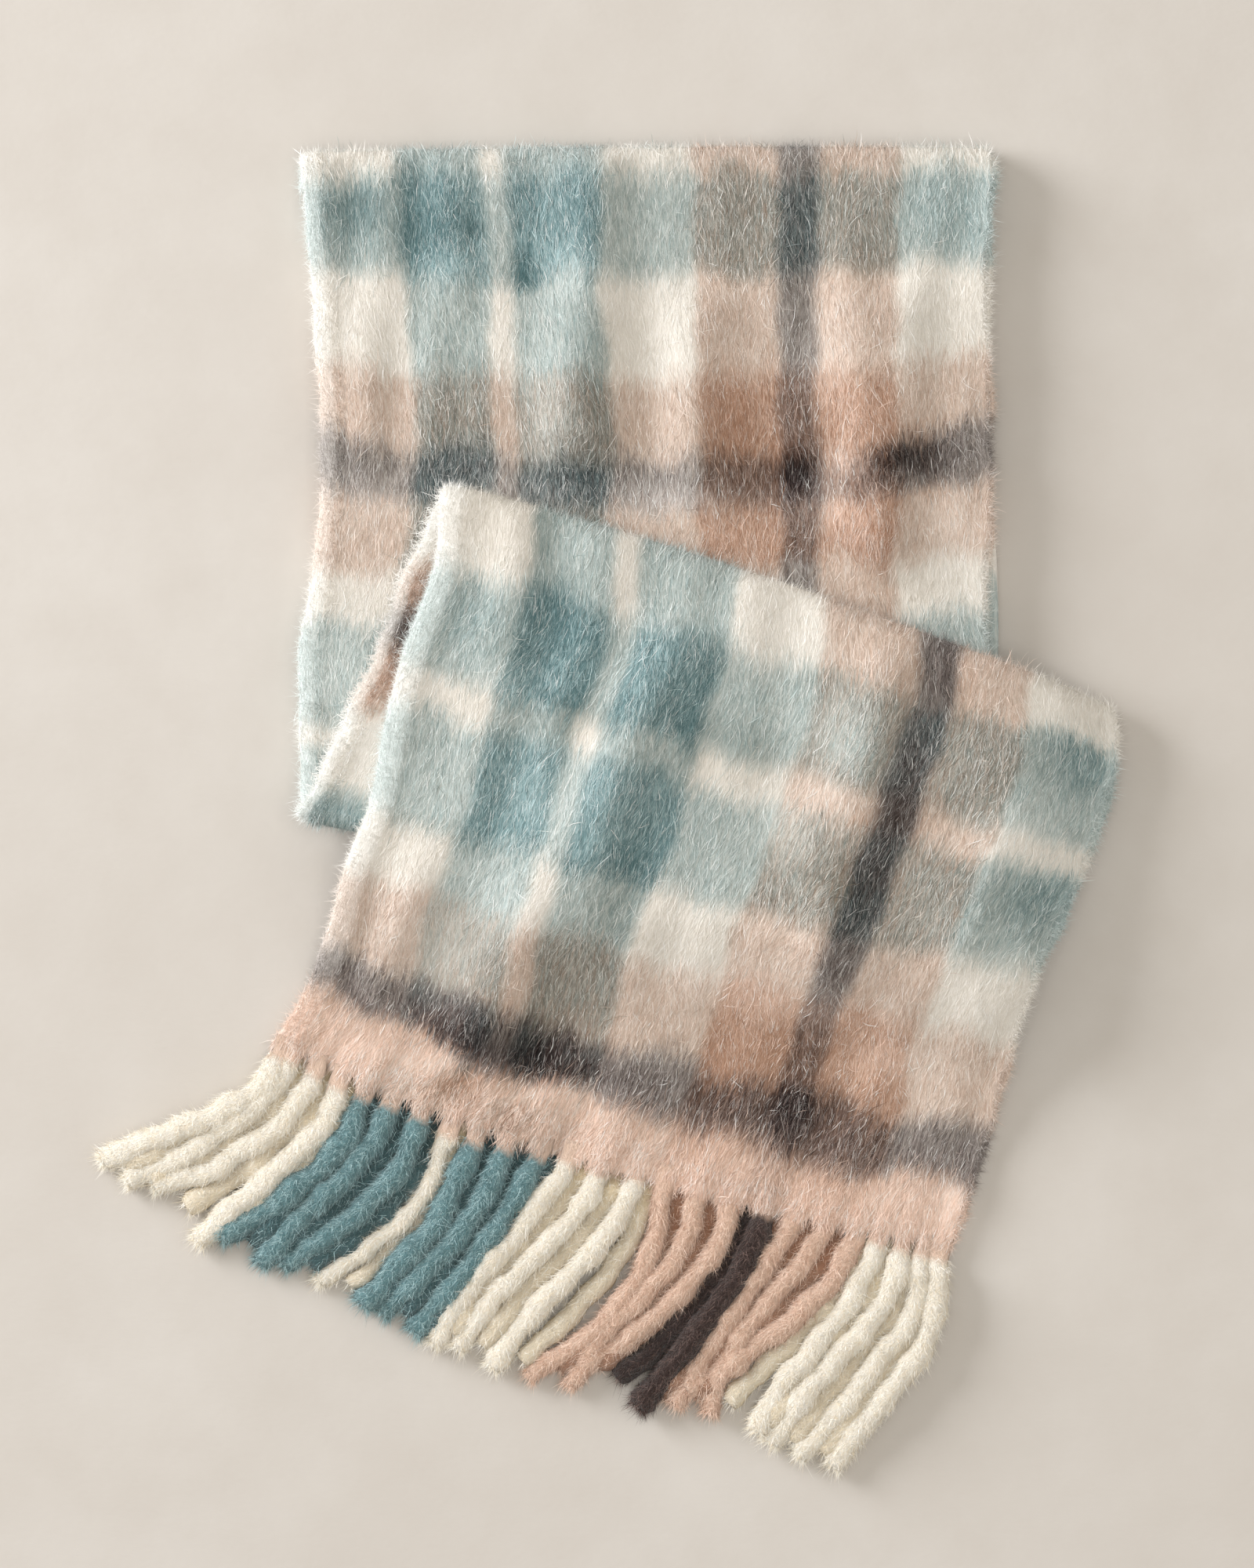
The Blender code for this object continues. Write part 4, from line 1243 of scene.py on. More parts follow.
def pale_edges_and_highlight(nodes, cloth_x, colour, weft_light, showing, more_weft, rim):
    """The lengthwise fold on one side, pale partly as a painted highlight, and the selvedges on the other.
    Both keep their colour near the hem.
    """
    if rim != MIDDLE_RIM:
        showing = showing * (1.0 - more_weft * 2.0).clamped()
    colour = pale_border_and_highlight(nodes, cloth_x, colour, weft_light, showing, rim)
    return pale_border_and_highlight(nodes, CLOTH_HALF * MM - cloth_x, colour, weft_light, showing, SELVEDGE_RIM)


DISPLAY_GAMMA = 2.2


def finish_cloth(nodes, colour):
    """Takes a blend of display colours to the shader."""
    linear = nodes.add("ShaderNodeGamma")
    linear.inputs["Gamma"].default_value = DISPLAY_GAMMA
    nodes.put(linear.inputs["Color"], colour)
    nodes.set(Base_Color=nodes.out(linear))


def ground_material(name, weft_bands, rim, covering):
    """The brushed ground: blurred plaid under light strokes along the length, with haze and a felted bump."""
    nodes = Nodes(name)
    uv = nodes.map("plaid")
    frost, weft = nodes.attribute("frost"), nodes.attribute("weft")
    cloth_x, place_x, place_y, lock = plaid_place(nodes, uv)
    more_weft, paler = weft_cover(nodes, place_y, covering)
    balance = ((lock - 0.5) * 0.9 + (more_weft + weft + 0.5)).clamped()
    dark = nodes.mix(balance, *plaid_colours(nodes, place_x, place_y, weft_bands, GROUND))
    warp_light, weft_light = plaid_colours(nodes, place_x, place_y, weft_bands, NAP)
    light = nodes.mix(balance, warp_light, weft_light)
    strokes = fibre_strokes(nodes, uv)
    haze = ((nodes.noise(uv, HAZE, 3.0, 0.55) - 0.36) * 2.6).clamped()
    veil = strokes * (haze * 0.5 + 0.42) + haze * 0.15
    # The frost marks lighten or darken the ground, in part as painted light and painted shade of the folds
    colour = nodes.mix((veil + frost + paler).clamped(), dark, light)
    finish_cloth(nodes, pale_edges_and_highlight(nodes, cloth_x, colour, weft_light, strokes * 0.35 + 0.65, more_weft, rim))
    nodes.set(Roughness=0.95, Sheen_Weight=0.25, Sheen_Roughness=0.5, Specular_IOR_Level=0.1)
    nodes.bump(strokes + lock, 0.5, 0.0011)
    return nodes.material


# Layers of strokes over the cloth and on a strand: lean from the length, waves a metre across and along it
STROKE_LAYERS = (0.24, 1000.0, 110.0), (-0.20, 1150.0, 125.0), (0.05, 1700.0, 180.0)
STRAND_STROKES = (0.7, 1300.0, 420.0), (-0.6, 1450.0, 380.0), (0.1, 1700.0, 300.0)


def fibre_strokes(nodes, uv, layers=STROKE_LAYERS):
    """Light strokes of flattened nap, in directions either side of the length."""
    strokes = None
    for lean, across, along in layers:
        turned = nodes.turned(uv, rotation=(0.0, 0.0, lean))
        layer = nodes.noise(turned, (across, along, 1.0), 3.0, 0.62, 0.5)
        layer = ((layer - 0.47) * 3.6).clamped()
        strokes = layer if strokes is None else nodes.maths("MAXIMUM", strokes, layer)
    return strokes


def own_number(nodes, strand, spread):
    """A number from 0 to 1 of each fibre's own. Another spread gives it another one."""
    return nodes.maths("FRACT", strand * spread)


def nap_material(name, weft_bands, rim, covering):
    """Fibres: each leans to the warp's or the weft's colour at its root, and has its own lightness."""
    nodes = Nodes(name)
    uv = nodes.map("plaid")
    frost, weft, strand = (nodes.attribute(own) for own in ("frost", "weft", "strand"))
    cloth_x, place_x, place_y, lock = plaid_place(nodes, uv)
    more_weft, paler = weft_cover(nodes, place_y, covering)
    pick = (own_number(nodes, strand, 7.31) * 0.4 + 0.3 + more_weft + weft).clamped()
    # The frost marks here also give painted light and painted shade of the folds
    tone = own_number(nodes, strand, 13.7) + (lock - 0.5) * 0.8 + frost + paler
    tone = ((tone - 0.2) * 1.7).clamped()
    warp_light, weft_light = plaid_colours(nodes, place_x, place_y, weft_bands, NAP)
    light = nodes.mix(pick, warp_light, weft_light)
    dark = nodes.mix(pick, *plaid_colours(nodes, place_x, place_y, weft_bands, GROUND))
    pale = ((frost * 0.3 + (own_number(nodes, strand, 29.3) - 0.68)) * 3.0).clamped()
    colour = nodes.mix(pale, nodes.mix(tone, dark, light), WHITE_NAP)
    finish_cloth(nodes, pale_edges_and_highlight(nodes, cloth_x, colour, weft_light, 1.0, more_weft, rim))
    nodes.set(Roughness=0.9, Sheen_Weight=0.2, Specular_IOR_Level=0.15)
    return nodes.material


def blended(first, second, share):
    """A colour this share of the way from one to another."""
    return tuple((1.0 - share) * one + share * other for one, other in zip(first, second, strict=True))


def strand_material(colour_name):
    """Felted roving of one colour: fine curls along it, with painted shade, warmer and darker, on its lower
    flank, over the lower ply's strands and in the slots by the hem.
    """
    nodes = Nodes(f"felted_{colour_name}")
    yarn = YARNS[colour_name]
    base, shade = srgb(*yarn.strand), srgb(*yarn.shade)
    uv = nodes.map("roving")
    around, run = nodes.split(uv)
    curl = fibre_strokes(nodes, uv, STRAND_STROKES)
    lump = nodes.noise(uv, LUMPS, 2.0)
    uneven = lump - 0.5
    stops = (0.0, blended(base, shade, 0.35)), (0.45, base), (1.0, srgb(*yarn.light))
    colour = nodes.ramp(curl + uneven * 0.5, stops)
    # Painted shade: the lower ply's strands, the slots by the hem and each strand's lower flank are darkened
    # in colour
    under = nodes.maths("GREATER_THAN", run, UNDER_MARK / 2.0)
    slot_shade = (1.0 - (run - (UNDER_MARK + ROOT_IN * MM)) / (SLOT_REACH * MM)).clamped() * (under * 0.6)
    turn = nodes.maths("SINE", around * (2.0 * math.pi / ROVING_ROUND))
    flank_shade = ((0.75 - turn + uneven * 0.8) * 0.6).clamped()
    flank_shade = (flank_shade + (under * yarn.under + slot_shade)).clamped()
    root = (1.0 - (run - ROOT_IN * MM + uneven * 0.008) / (ROOT_FADE * MM)).clamped()
    colour = nodes.mix(root * 0.85, nodes.mix(flank_shade, colour, shade), srgb(*YARNS["peach"].strand))
    nodes.set(Base_Color=colour, Roughness=0.95, Specular_IOR_Level=0.1)
    nodes.set(Sheen_Weight=0.3, Sheen_Roughness=0.5)
    nodes.bump(curl + lump * 2.0, 0.8, 0.0010)
    return nodes.material


def fuzz_material(colour_name):
    """Loose fibres of a strand, from its own colour to its lightest."""
    nodes = Nodes(f"fuzz_{colour_name}")
    yarn = YARNS[colour_name]
    base, shade = srgb(*yarn.strand), srgb(*yarn.shade)
    stops = (0.1, blended(base, shade, 0.6)), (0.3, base), (0.65, srgb(*yarn.light))
    colour = nodes.ramp(nodes.attribute("strand"), stops)
    nodes.set(Base_Color=colour, Roughness=0.9, Sheen_Weight=0.2, Specular_IOR_Level=0.15)
    return nodes.material


# --- fringe

# The upper strands, left to right: places of the view that each passes through, and its thickness in mm
Strand = collections.namedtuple(
    "Strand", "node root_x root_y first_x first_y second_x second_y third_x third_y tip_x tip_y thick"
)
STRANDS = (
    Strand("fringe_cream_left", 358, 1346, 326, 1394, 270, 1424, 200, 1452, 131, 1480, 10.4),
    Strand("fringe_cream_left", 372, 1350, 350, 1388, 306, 1426, 236, 1473, 162, 1505, 9.4),
    Strand("fringe_cream_left", 402, 1368, 382, 1408, 336, 1450, 272, 1490, 197, 1512, 9.8),
    Strand("fringe_cream_left", 432, 1384, 420, 1424, 378, 1470, 318, 1524, 252, 1582, 10.4),
    Strand("fringe_teal_left", 464, 1398, 447, 1440, 410, 1488, 352, 1534, 283, 1577, 10.8),
    Strand("fringe_teal_left", 499, 1408, 474, 1458, 430, 1510, 380, 1556, 334, 1612, 10.6),
    Strand("fringe_teal_left", 536, 1422, 516, 1480, 472, 1532, 416, 1578, 362, 1609, 10.2),
    Strand("fringe_cream_single", 572, 1446, 553, 1496, 528, 1543, 482, 1582, 407, 1634, 7.4),
    Strand("fringe_teal_right", 606, 1455, 580, 1512, 548, 1572, 506, 1616, 464, 1664, 10.6),
    Strand("fringe_teal_right", 646, 1463, 620, 1520, 582, 1578, 533, 1630, 488, 1674, 10.6),
    Strand("fringe_teal_right", 688, 1473, 660, 1522, 622, 1582, 577, 1640, 528, 1697, 10.0),
    Strand("fringe_cream_middle", 726, 1480, 692, 1530, 652, 1582, 606, 1634, 553, 1712, 9.4),
    Strand("fringe_cream_middle", 768, 1490, 739, 1542, 693, 1592, 637, 1647, 583, 1718, 9.6),
    Strand("fringe_cream_middle", 812, 1500, 790, 1550, 739, 1614, 683, 1670, 628, 1743, 9.6),
    Strand("fringe_peach_left", 848, 1510, 840, 1562, 816, 1626, 762, 1694, 676, 1753, 8.6),
    Strand("fringe_peach_left", 890, 1520, 871, 1588, 829, 1643, 772, 1697, 726, 1766, 9.0),
    Strand("fringe_peach_left", 932, 1530, 920, 1580, 881, 1634, 820, 1692, 737, 1745, 9.2),
    Strand("fringe_charcoal", 976, 1545, 952, 1606, 907, 1675, 860, 1737, 815, 1794, 10.6),
    Strand("fringe_peach_right", 1012, 1555, 974, 1616, 934, 1676, 894, 1735, 862, 1790, 9.0),
    Strand("fringe_peach_right", 1052, 1568, 1012, 1622, 970, 1672, 928, 1730, 903, 1800, 9.2),
    Strand("fringe_peach_right", 1090, 1580, 1056, 1638, 1000, 1690, 936, 1736, 876, 1772, 9.8),
    Strand("fringe_cream_right", 1120, 1582, 1094, 1642, 1050, 1704, 1000, 1764, 964, 1824, 9.8),
    Strand("fringe_cream_right", 1150, 1590, 1134, 1650, 1076, 1722, 1026, 1780, 984, 1840, 10.4),
    Strand("fringe_cream_right", 1176, 1597, 1164, 1674, 1112, 1744, 1066, 1806, 1018, 1856, 9.6),
    Strand("fringe_cream_right", 1197, 1602, 1194, 1664, 1162, 1740, 1108, 1806, 1062, 1870, 10.2),
)
# Each run of one colour is a node that is named for it
NODE_COLOUR = {strand.node: strand.node.split("_")[1] for strand in STRANDS}
STRAND_SIDES = 14
STRAND_WANDER = 0.4  # mm that a strand strays from its places
UPPER_GROWTH = 1.05  # of the upper strands' thickness by their fuzz
UNDER_GROWTH = 0.98
UNDER_MARK = 1.0  # metres that the under strands' roving map is moved along, which gives them painted shade
UNDER_LENGTH = 0.8  # of an under strand's last run
STRAND_STEPS = 38
STRAND_SEED, WANDER_SEED, BUMP_SEED, FUZZ_SEED, TONE_SEED = 500, 80, 40, 900, 77
FLATNESS = 0.86  # height of a strand as a share of its width
RESTING = 0.8  # height of its middle over the floor at the tip, as a share of its half width
CARRIED = 3.6  # how far the under strands lift the upper ones
DOWN_START, DOWN_REACH = 0.62, 0.36  # shares of its length over which it comes down to the floor
LUMPINESS, LUMP_WAVE = 0.085, 22.0  # share of its thickness, and millimetres along
WANDER_WAVE = 24.0
TWIST_RUN = 6.5  # millimetres along for a radian of its twist
TWIST_DEPTH, BUMP_DEPTH = 0.008, 0.045  # shares of its thickness
TIP_FLARE = 1.02, 0.98, 0.78  # thickness of the last rings
TIP_OUT, TIP_MAP = 0.5, 0.004  # how far the closed tip stands out, in mm, and in metres of the roving map
STRAND_FLOOR = 0.15  # mm over the floor
ROVING_ROUND = 0.028  # metres of the roving map round a strand
ROOT_IN = 9.0  # how far strands run up inside the hem
ROOT_FADE = 4.5  # length over which the hem's colour leaves the upper strands
BUNDLE_HALF = 4.5  # half width of a bundle of warp where it leaves the hem
GATHER = 10.0  # length over which a bundle gathers into a strand
SLOT_REACH = 22.0  # how far down from the hem the under strands get painted shade, for the dark of the slots
PATH_STEPS = 400


def smooth_path(points, count):
    """Plan points evenly spaced on a smooth curve through these."""
    points = np.asarray(points, float)
    knots = np.concatenate([[0.0], np.cumsum(np.linalg.norm(np.diff(points, axis=0), axis=1))])
    slope = np.gradient(points, knots, axis=0)
    fine = np.linspace(0.0, knots[-1], PATH_STEPS)
    k = np.clip(np.searchsorted(knots, fine, side="right") - 1, 0, len(knots) - 2)
    length = (knots[k + 1] - knots[k])[:, None]
    f = (fine[:, None] - knots[k][:, None]) / length
    ahead = f * f * (3.0 - 2.0 * f)
    curve = points[k] * (1.0 - ahead) + points[k + 1] * ahead
    curve += length * (f * (1 - f) ** 2 * slope[k] - f * f * (1 - f) * slope[k + 1])
    run = np.concatenate([[0.0], np.cumsum(np.linalg.norm(np.diff(curve, axis=0), axis=1))])
    even = np.linspace(0.0, run[-1], count)
    return np.column_stack([np.interp(even, run, curve[:, axis]) for axis in (0, 1)]), even


def strand_places(strand):
    values = np.array(strand[1:11], float).reshape(-1, 2)
    return np.array([from_view(*value) for value in values])


def run_noise(run, seed, wave):
    """Unevenness along a strand."""
    return soft_noise(run, np.zeros_like(run), seed, wave, 1e9, 8)


def strand_tube(path, is_upper, thick, seed):
    """Rings of a strand with its twist and lumps, each one's distance along, and the way its tip points."""
    rng = np.random.default_rng(seed)
    path = np.vstack([path[0] + row_up(HEM) * ROOT_IN, path])
    line, run = smooth_path(path, STRAND_STEPS)
    out = run - ROOT_IN
    gather = smoothstep(out / GATHER)
    half_thick = thick / 2.0
    lumps = 1.0 + LUMPINESS * run_noise(run, seed, LUMP_WAVE)
    half_width = (BUNDLE_HALF * (1.0 - gather) + half_thick * gather) * lumps
    # Inside the hem a bundle is thinner, so that it stays within its ply
    bundle_height = 0.7 + (PLY / 2.0 - 0.5) * smoothstep((out + 3.0) / 5.0)
    half_height = (bundle_height * (1.0 - gather) + half_thick * FLATNESS * gather) * lumps
    start_z = PLY * 1.5 + SLIT + 0.3 if is_upper else PLY * 0.5 + 0.2
    carried = half_thick * FLATNESS + (CARRIED if is_upper else 0.0)
    down = smoothstep((run - run[-1] * DOWN_START) / (run[-1] * DOWN_REACH))
    middle_z = start_z * (1.0 - gather) + (carried * (1.0 - down) + half_thick * RESTING * down) * gather
    middle_z = np.maximum(middle_z, half_height * 0.98 + STRAND_FLOOR)
    along = np.gradient(line, axis=0)
    along /= np.linalg.norm(along, axis=1)[:, None]
    aside = np.column_stack([-along[:, 1], along[:, 0]])
    line = line + aside * (STRAND_WANDER * gather * run_noise(run, seed + WANDER_SEED, WANDER_WAVE))[:, None]
    angle = np.linspace(0.0, 2.0 * math.pi, STRAND_SIDES, endpoint=False)
    twist = run / TWIST_RUN + rng.uniform(0.0, 6.0)
    flare = np.ones_like(run)
    flare[-len(TIP_FLARE) :] = TIP_FLARE
    bumps = [soft_noise(run, turn * 4.0, seed + BUMP_SEED, 8.0, 9.0, 14) for turn in angle]
    size = 1.0 + TWIST_DEPTH * gather[:, None] * np.cos(2.0 * (angle - twist[:, None]))
    size = (size + BUMP_DEPTH * np.stack(bumps, axis=1)) * flare[:, None]
    plan = line[:, None] + aside[:, None] * (np.cos(angle) * half_width[:, None] * size)[..., None]
    height = np.maximum(middle_z[:, None] + np.sin(angle) * half_height[:, None] * size, STRAND_FLOOR)
    return np.concatenate([plan, height[..., None]], axis=-1), run, along[-1]


def tube_arrays(rings, run):
    """Corners, starts and roving coordinates of one strand, with both ends closed."""
    steps, sides = rings.shape[:2]
    quads, low, ring = tube_quads(steps, sides)
    around = np.arange(sides)
    across = np.arange(sides + 1) / sides * ROVING_ROUND
    last = (steps - 1) * sides
    tip = np.stack([last + around, last + (around + 1) % sides, np.full(sides, last + sides)], -1)
    end = np.full(sides, run[-1])
    middle = np.full(sides, ROVING_ROUND / 2.0)
    places = (across[:-1], end), (across[1:], end), (middle, end + TIP_MAP)
    tip_map = np.stack([np.stack(place, -1) for place in places], -2).reshape(-1, 2)
    corners = np.concatenate([quads.ravel(), tip.ravel(), around[::-1]])
    starts = np.concatenate([np.arange(len(quads)) * 4, quads.size + np.arange(sides + 1) * 3])
    roving = np.concatenate([tube_map(across, run, low, ring), tip_map, np.zeros((sides, 2))])
    return corners, starts, roving


CHARCOAL_INDEX = 17
UNDER_CHARCOAL = 0.12


def under_offset(index):
    """Where an under strand lies, as a share of the way from its upper strand to the next one."""
    if index == CHARCOAL_INDEX - 1:
        return UNDER_CHARCOAL
    return 0.5 if index < CHARCOAL_INDEX else -0.5


def fringe_strands():
    """Every strand of both plies: node, whether it is an upper one, places and thickness."""
    table = []
    places = [strand_places(strand) for strand in STRANDS]
    for index, strand in enumerate(STRANDS):
        table.append((strand.node, True, places[index], strand.thick * UPPER_GROWTH))
        offset = under_offset(index)
        other = places[index + 1] if offset > 0.0 else places[index - 1]
        under = places[index] + (other - places[index]) * abs(offset)
        under[-1] = under[-2] + (under[-1] - under[-2]) * UNDER_LENGTH
        table.append((strand.node, False, under, strand.thick * UNDER_GROWTH))
    return table


def fringe_piece(node, strands, shown_material, fuzz_shown):
    """One run's strands as one piece, and their fuzz as another."""
    points, corners, starts, roving_map, samples = [], [], [], [], []
    placed = filled = 0
    for number, is_upper, path, thick in strands:
        rings, run, end = strand_tube(path, is_upper, thick, STRAND_SEED + number)
        faces, face_starts, face_map = tube_arrays(rings, run * MM + (0.0 if is_upper else UNDER_MARK))
        points += [rings.reshape(-1, 3), [rings[-1].mean(axis=0) + np.array([*end, 0.0]) * TIP_OUT]]
        corners.append(faces + placed)
        starts.append(face_starts + filled)
        roving_map.append(face_map)
        placed += rings.shape[0] * rings.shape[1] + 1
        filled += len(faces)
        samples.append((rings, number, is_upper))
    points = to_frame(np.concatenate(points))
    mesh = face_mesh(f"{node}_roving", points, np.concatenate(corners), np.concatenate(starts))
    set_uv(mesh, "roving", np.concatenate(roving_map))
    face_out(mesh)
    piece = new_object(f"{node}_roving", mesh, shown_material)
    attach(piece, "root")
    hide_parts(node)
    fuzz = strand_fuzz(f"{node}_fuzz", samples, fuzz_shown)
    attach(fuzz, "root")
    return piece, fuzz


UPPER_FUZZ = 4500
UNDER_FUZZ = 1200
FUZZ_START = 3.0  # rings from the root
FUZZ_FAN = math.radians(52.0)
TIP_SHARE = 0.05  # of the fibres, which stand on the tip
TIP_RING = 0.8  # how far out from the tip's middle those are


def strand_fuzz(name, samples, shown_material):
    """Loose fibres over the strands of one run."""
    roots, forwards, normals = [], [], []
    for rings, number, is_upper in samples:
        rng = np.random.default_rng(FUZZ_SEED + number)
        count = UPPER_FUZZ if is_upper else UNDER_FUZZ
        steps, sides = rings.shape[:2]
        place = FUZZ_START + (steps - 1.02 - FUZZ_START) * rng.random(count)
        k = place.astype(int)
        f = (place - k)[:, None]
        i = rng.integers(0, sides, count)
        g = rng.random(count)[:, None]
        j = (i + 1) % sides
        point = (rings[k, i] * (1 - f) + rings[k + 1, i] * f) * (1 - g)
        point = point + (rings[k, j] * (1 - f) + rings[k + 1, j] * f) * g
        centre = rings[k].mean(axis=1)
        normal = point - centre
        normal /= np.linalg.norm(normal, axis=1)[:, None]
        forward = rings[k + 1].mean(axis=1) - centre
        forward /= np.linalg.norm(forward, axis=1)[:, None]
        side = np.cross(normal, forward)
        angle = rng.normal(0.0, FUZZ_FAN, count)
        on_tip = rng.random(count) < TIP_SHARE
        end = rings[-1][i] * TIP_RING + rings[-1].mean(axis=0) * (1.0 - TIP_RING)
        roots.append(np.where(on_tip[:, None], end, point))
        forwards.append(forward * np.cos(angle)[:, None] + side * np.sin(angle)[:, None])
        normals.append(normal)
    root, forward, normal = (np.concatenate(found) for found in (roots, forwards, normals))
    count = len(root)
    rng = np.random.default_rng(TONE_SEED + count)
    length, width, lift = fibre_sizes(rng, FUZZ, count)
    curl = np.zeros(count)
    roll = rng.normal(0.0, ROLL, count)
    tone = rng.random(count)
    root = root - normal * ROOT_DEPTH
    mesh = fibre_mesh(name, root, forward, normal, length, width, lift, curl, roll, None, tone, FUZZ.joints)
    keep_up(mesh)
    return new_object(name, mesh, shown_material)


# --- hidden layers

HIDDEN_PLIES = 3
PLY_TURNS = -80, -50, -20, 10, 40, 65, 80  # degrees round the edge of a ply
PLY_ROUND = 2.4
GROOVE_IN = 0.5  # how much farther in the middle ply's edge lies
BASE_IN, TOP_IN = 2.6, 3.4
LIMB_HEIGHT = 7.4  # below which the layers make room for the top fold's lower limb
HIDDEN_SIDE_STEP = 47.5
HIDDEN_SHARES = np.linspace(0.02, 0.98, 40)
PLAID_LEFT, PLAID_TOP = -134.0, 283.0  # where in the plan its plaid starts


def hidden_outline(height, inset, limb):
    top = moved_row(TOP_FOLD_LINE, -limb - inset)
    top = top._replace(left_x=HIDDEN_TOP_LEFT, right_x=HIDDEN_TOP_RIGHT)
    bottom = moved_row(BOTTOM_FOLD_LINE, inset - HIDDEN_LAP)
    bottom = bottom._replace(
        left_x=bottom.left_x + HIDDEN_BOTTOM_IN, right_x=bottom.right_x - HIDDEN_BOTTOM_IN
    )
    sides = (moved_row(top, -HIDDEN_CORNER), *HIDDEN_ROWS, moved_row(bottom, HIDDEN_CORNER))
    fine, _ = smooth_rows(sides, stations(sides)[-1] / HIDDEN_SIDE_STEP)
    right = [(row.right_x - inset, row.right_y) for row in fine]
    left = [(row.left_x + inset, row.left_y) for row in fine[::-1]]
    top_edge, bottom_edge = row_points(top, HIDDEN_SHARES), row_points(bottom, HIDDEN_SHARES[::-1])
    plan = np.array([*top_edge, *right, *bottom_edge, *left])
    return np.column_stack([plan, np.full(len(plan), height)])


def hidden_piece(shown_material):
    """The covered layers as one form with a rounded edge for each ply."""
    limb = LOWER_LIMB + GAP
    ply = HIDDEN_HEIGHT / HIDDEN_PLIES
    loops = [hidden_outline(0.0, BASE_IN, limb)]
    for layer in range(HIDDEN_PLIES):
        for degrees in PLY_TURNS:
            turn = math.radians(degrees)
            height = (layer + 0.5 + 0.5 * math.sin(turn)) * ply
            inset = PLY_ROUND * (1.0 - math.cos(turn)) + (GROOVE_IN if layer == 1 else 0.0)
            loops.append(hidden_outline(height, inset, limb if height < LIMB_HEIGHT else 0.0))
    loops.append(hidden_outline(HIDDEN_HEIGHT, TOP_IN, 0.0))
    grid = np.array(loops)
    rows, columns = grid.shape[:2]
    quads, _, _ = tube_quads(rows, columns)
    around = np.arange(columns)
    corners = np.concatenate([quads.ravel(), around[::-1], around + (rows - 1) * columns])
    starts = np.concatenate([np.arange(len(quads) + 1) * 4, [quads.size + columns]])
    points = grid.reshape(-1, 3)
    mesh = face_mesh("hidden_cloth", to_frame(points), corners, starts)
    along = PLAID_TOP - points[:, 1] + points[:, 2] * 2.0
    place = np.column_stack([(points[:, 0] - PLAID_LEFT) / CLOTH_HALF, along])
    set_uv(mesh, "plaid", place[corners] * PLAID_UNIT)
    face_out(mesh)
    piece = new_object("hidden_cloth", mesh, shown_material)
    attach(piece, "root")
    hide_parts("hidden_layers")
    return piece


# --- surroundings

VIEW_CENTRE = from_view(800.0, 1000.0) - FRAME_SHIFT[:2]
VIEW_HEIGHT = 2000.0 * PIXEL * MM
CAMERA_HEIGHT = 6.0
SENSOR = 36.0
FLOOR_HALF = 7.0


def add_camera():
    data = bpy.data.cameras.new("camera")
    data.sensor_width = SENSOR
    data.lens = SENSOR * CAMERA_HEIGHT / VIEW_HEIGHT
    data.clip_end = 50.0
    camera = bpy.data.objects.new("camera", data)
    camera.location = (VIEW_CENTRE[0] * MM, VIEW_CENTRE[1] * MM, CAMERA_HEIGHT)
    bpy.context.scene.collection.objects.link(camera)
    bpy.context.scene.camera = camera


def add_floor():
    """Plain pale plaster, cloudy and finely mottled."""
    nodes = Nodes("plaster")
    place = nodes.out(nodes.add("ShaderNodeTexCoord"), "Object")
    cloud = nodes.noise(place, (3.2, 3.2, 3.2), 3.0)
    mottle = nodes.noise(place, (22.0, 22.0, 22.0), 4.0, 0.6)
    grain = nodes.noise(place, (260.0, 420.0, 260.0), 3.0)
    colour = nodes.ramp(cloud, ((0.3, srgb(199, 194, 187)), (0.7, srgb(206, 202, 196))))
    mottle = ((mottle - 0.3) * 1.3).clamped()
    colour = nodes.mix(mottle, colour, srgb(194, 188, 180))
    nodes.set(Base_Color=colour, Roughness=0.8, Specular_IOR_Level=0.25)
    nodes.bump(mottle * 2.0 + grain, 0.12, 0.0006)
    mesh = bpy.data.meshes.new("floor")
    signs = (-1, -1), (1, -1), (1, 1), (-1, 1)
    mesh.from_pydata([(x * FLOOR_HALF, y * FLOOR_HALF, 0.0) for x, y in signs], [], [(0, 1, 2, 3)])
    floor = new_object("floor", mesh, nodes.material)


def add_area_light(name, place, size, power, colour):
    """A round soft light that faces the middle of the scene and is never seen itself."""
    data = bpy.data.lights.new(name, "AREA")
    data.shape = "DISK"
    data.size = size
    data.energy = power
    data.color = colour
    light = bpy.data.objects.new(name, data)
    light.location = place
    light.rotation_euler = (-Vector(place)).to_track_quat("-Z", "Y").to_euler()
    light.visible_camera = False
    bpy.context.scene.collection.objects.link(light)


def add_lights():
    add_area_light("key", (-2.85, 1.27, 1.2), 2.0, 145.0, (0.985, 0.985, 1.01))
    add_area_light("overhead", (0.35, -0.1, 3.4), 2.6, 40.5, (0.99, 0.965, 0.925))
    add_area_light("fill", (2.4, -0.4, 1.8), 2.4, 10.0, (0.98, 0.98, 1.0))
    world = bpy.data.worlds.new("studio")
    world.use_nodes = True
    back = world.node_tree.nodes["Background"]
    back.inputs["Color"].default_value = (1.0, 0.925, 0.83, 1.0)
    back.inputs["Strength"].default_value = 0.445
    bpy.context.scene.world = world
    bpy.context.scene.view_settings.view_transform = "Standard"
    bpy.context.scene.view_settings.look = "None"


# --- assembly

TUCKED_IN = 9.0  # how far the nap goes on under the stretch above
HEM_BAND = 7.0  # inside the hem, where its own fibres start


def keep_all(plan):
    return np.ones(len(plan), bool)


def keep_back(plan):
    return keep_middle(plan) & (outside_middle(plan).max(axis=0) > -TUCKED_IN)


def keep_hem(plan):
    return outside_front(plan)[2] > -HEM_BAND


def keep_middle(plan):
    return outside_front(plan).max(axis=0) > -TUCKED_IN


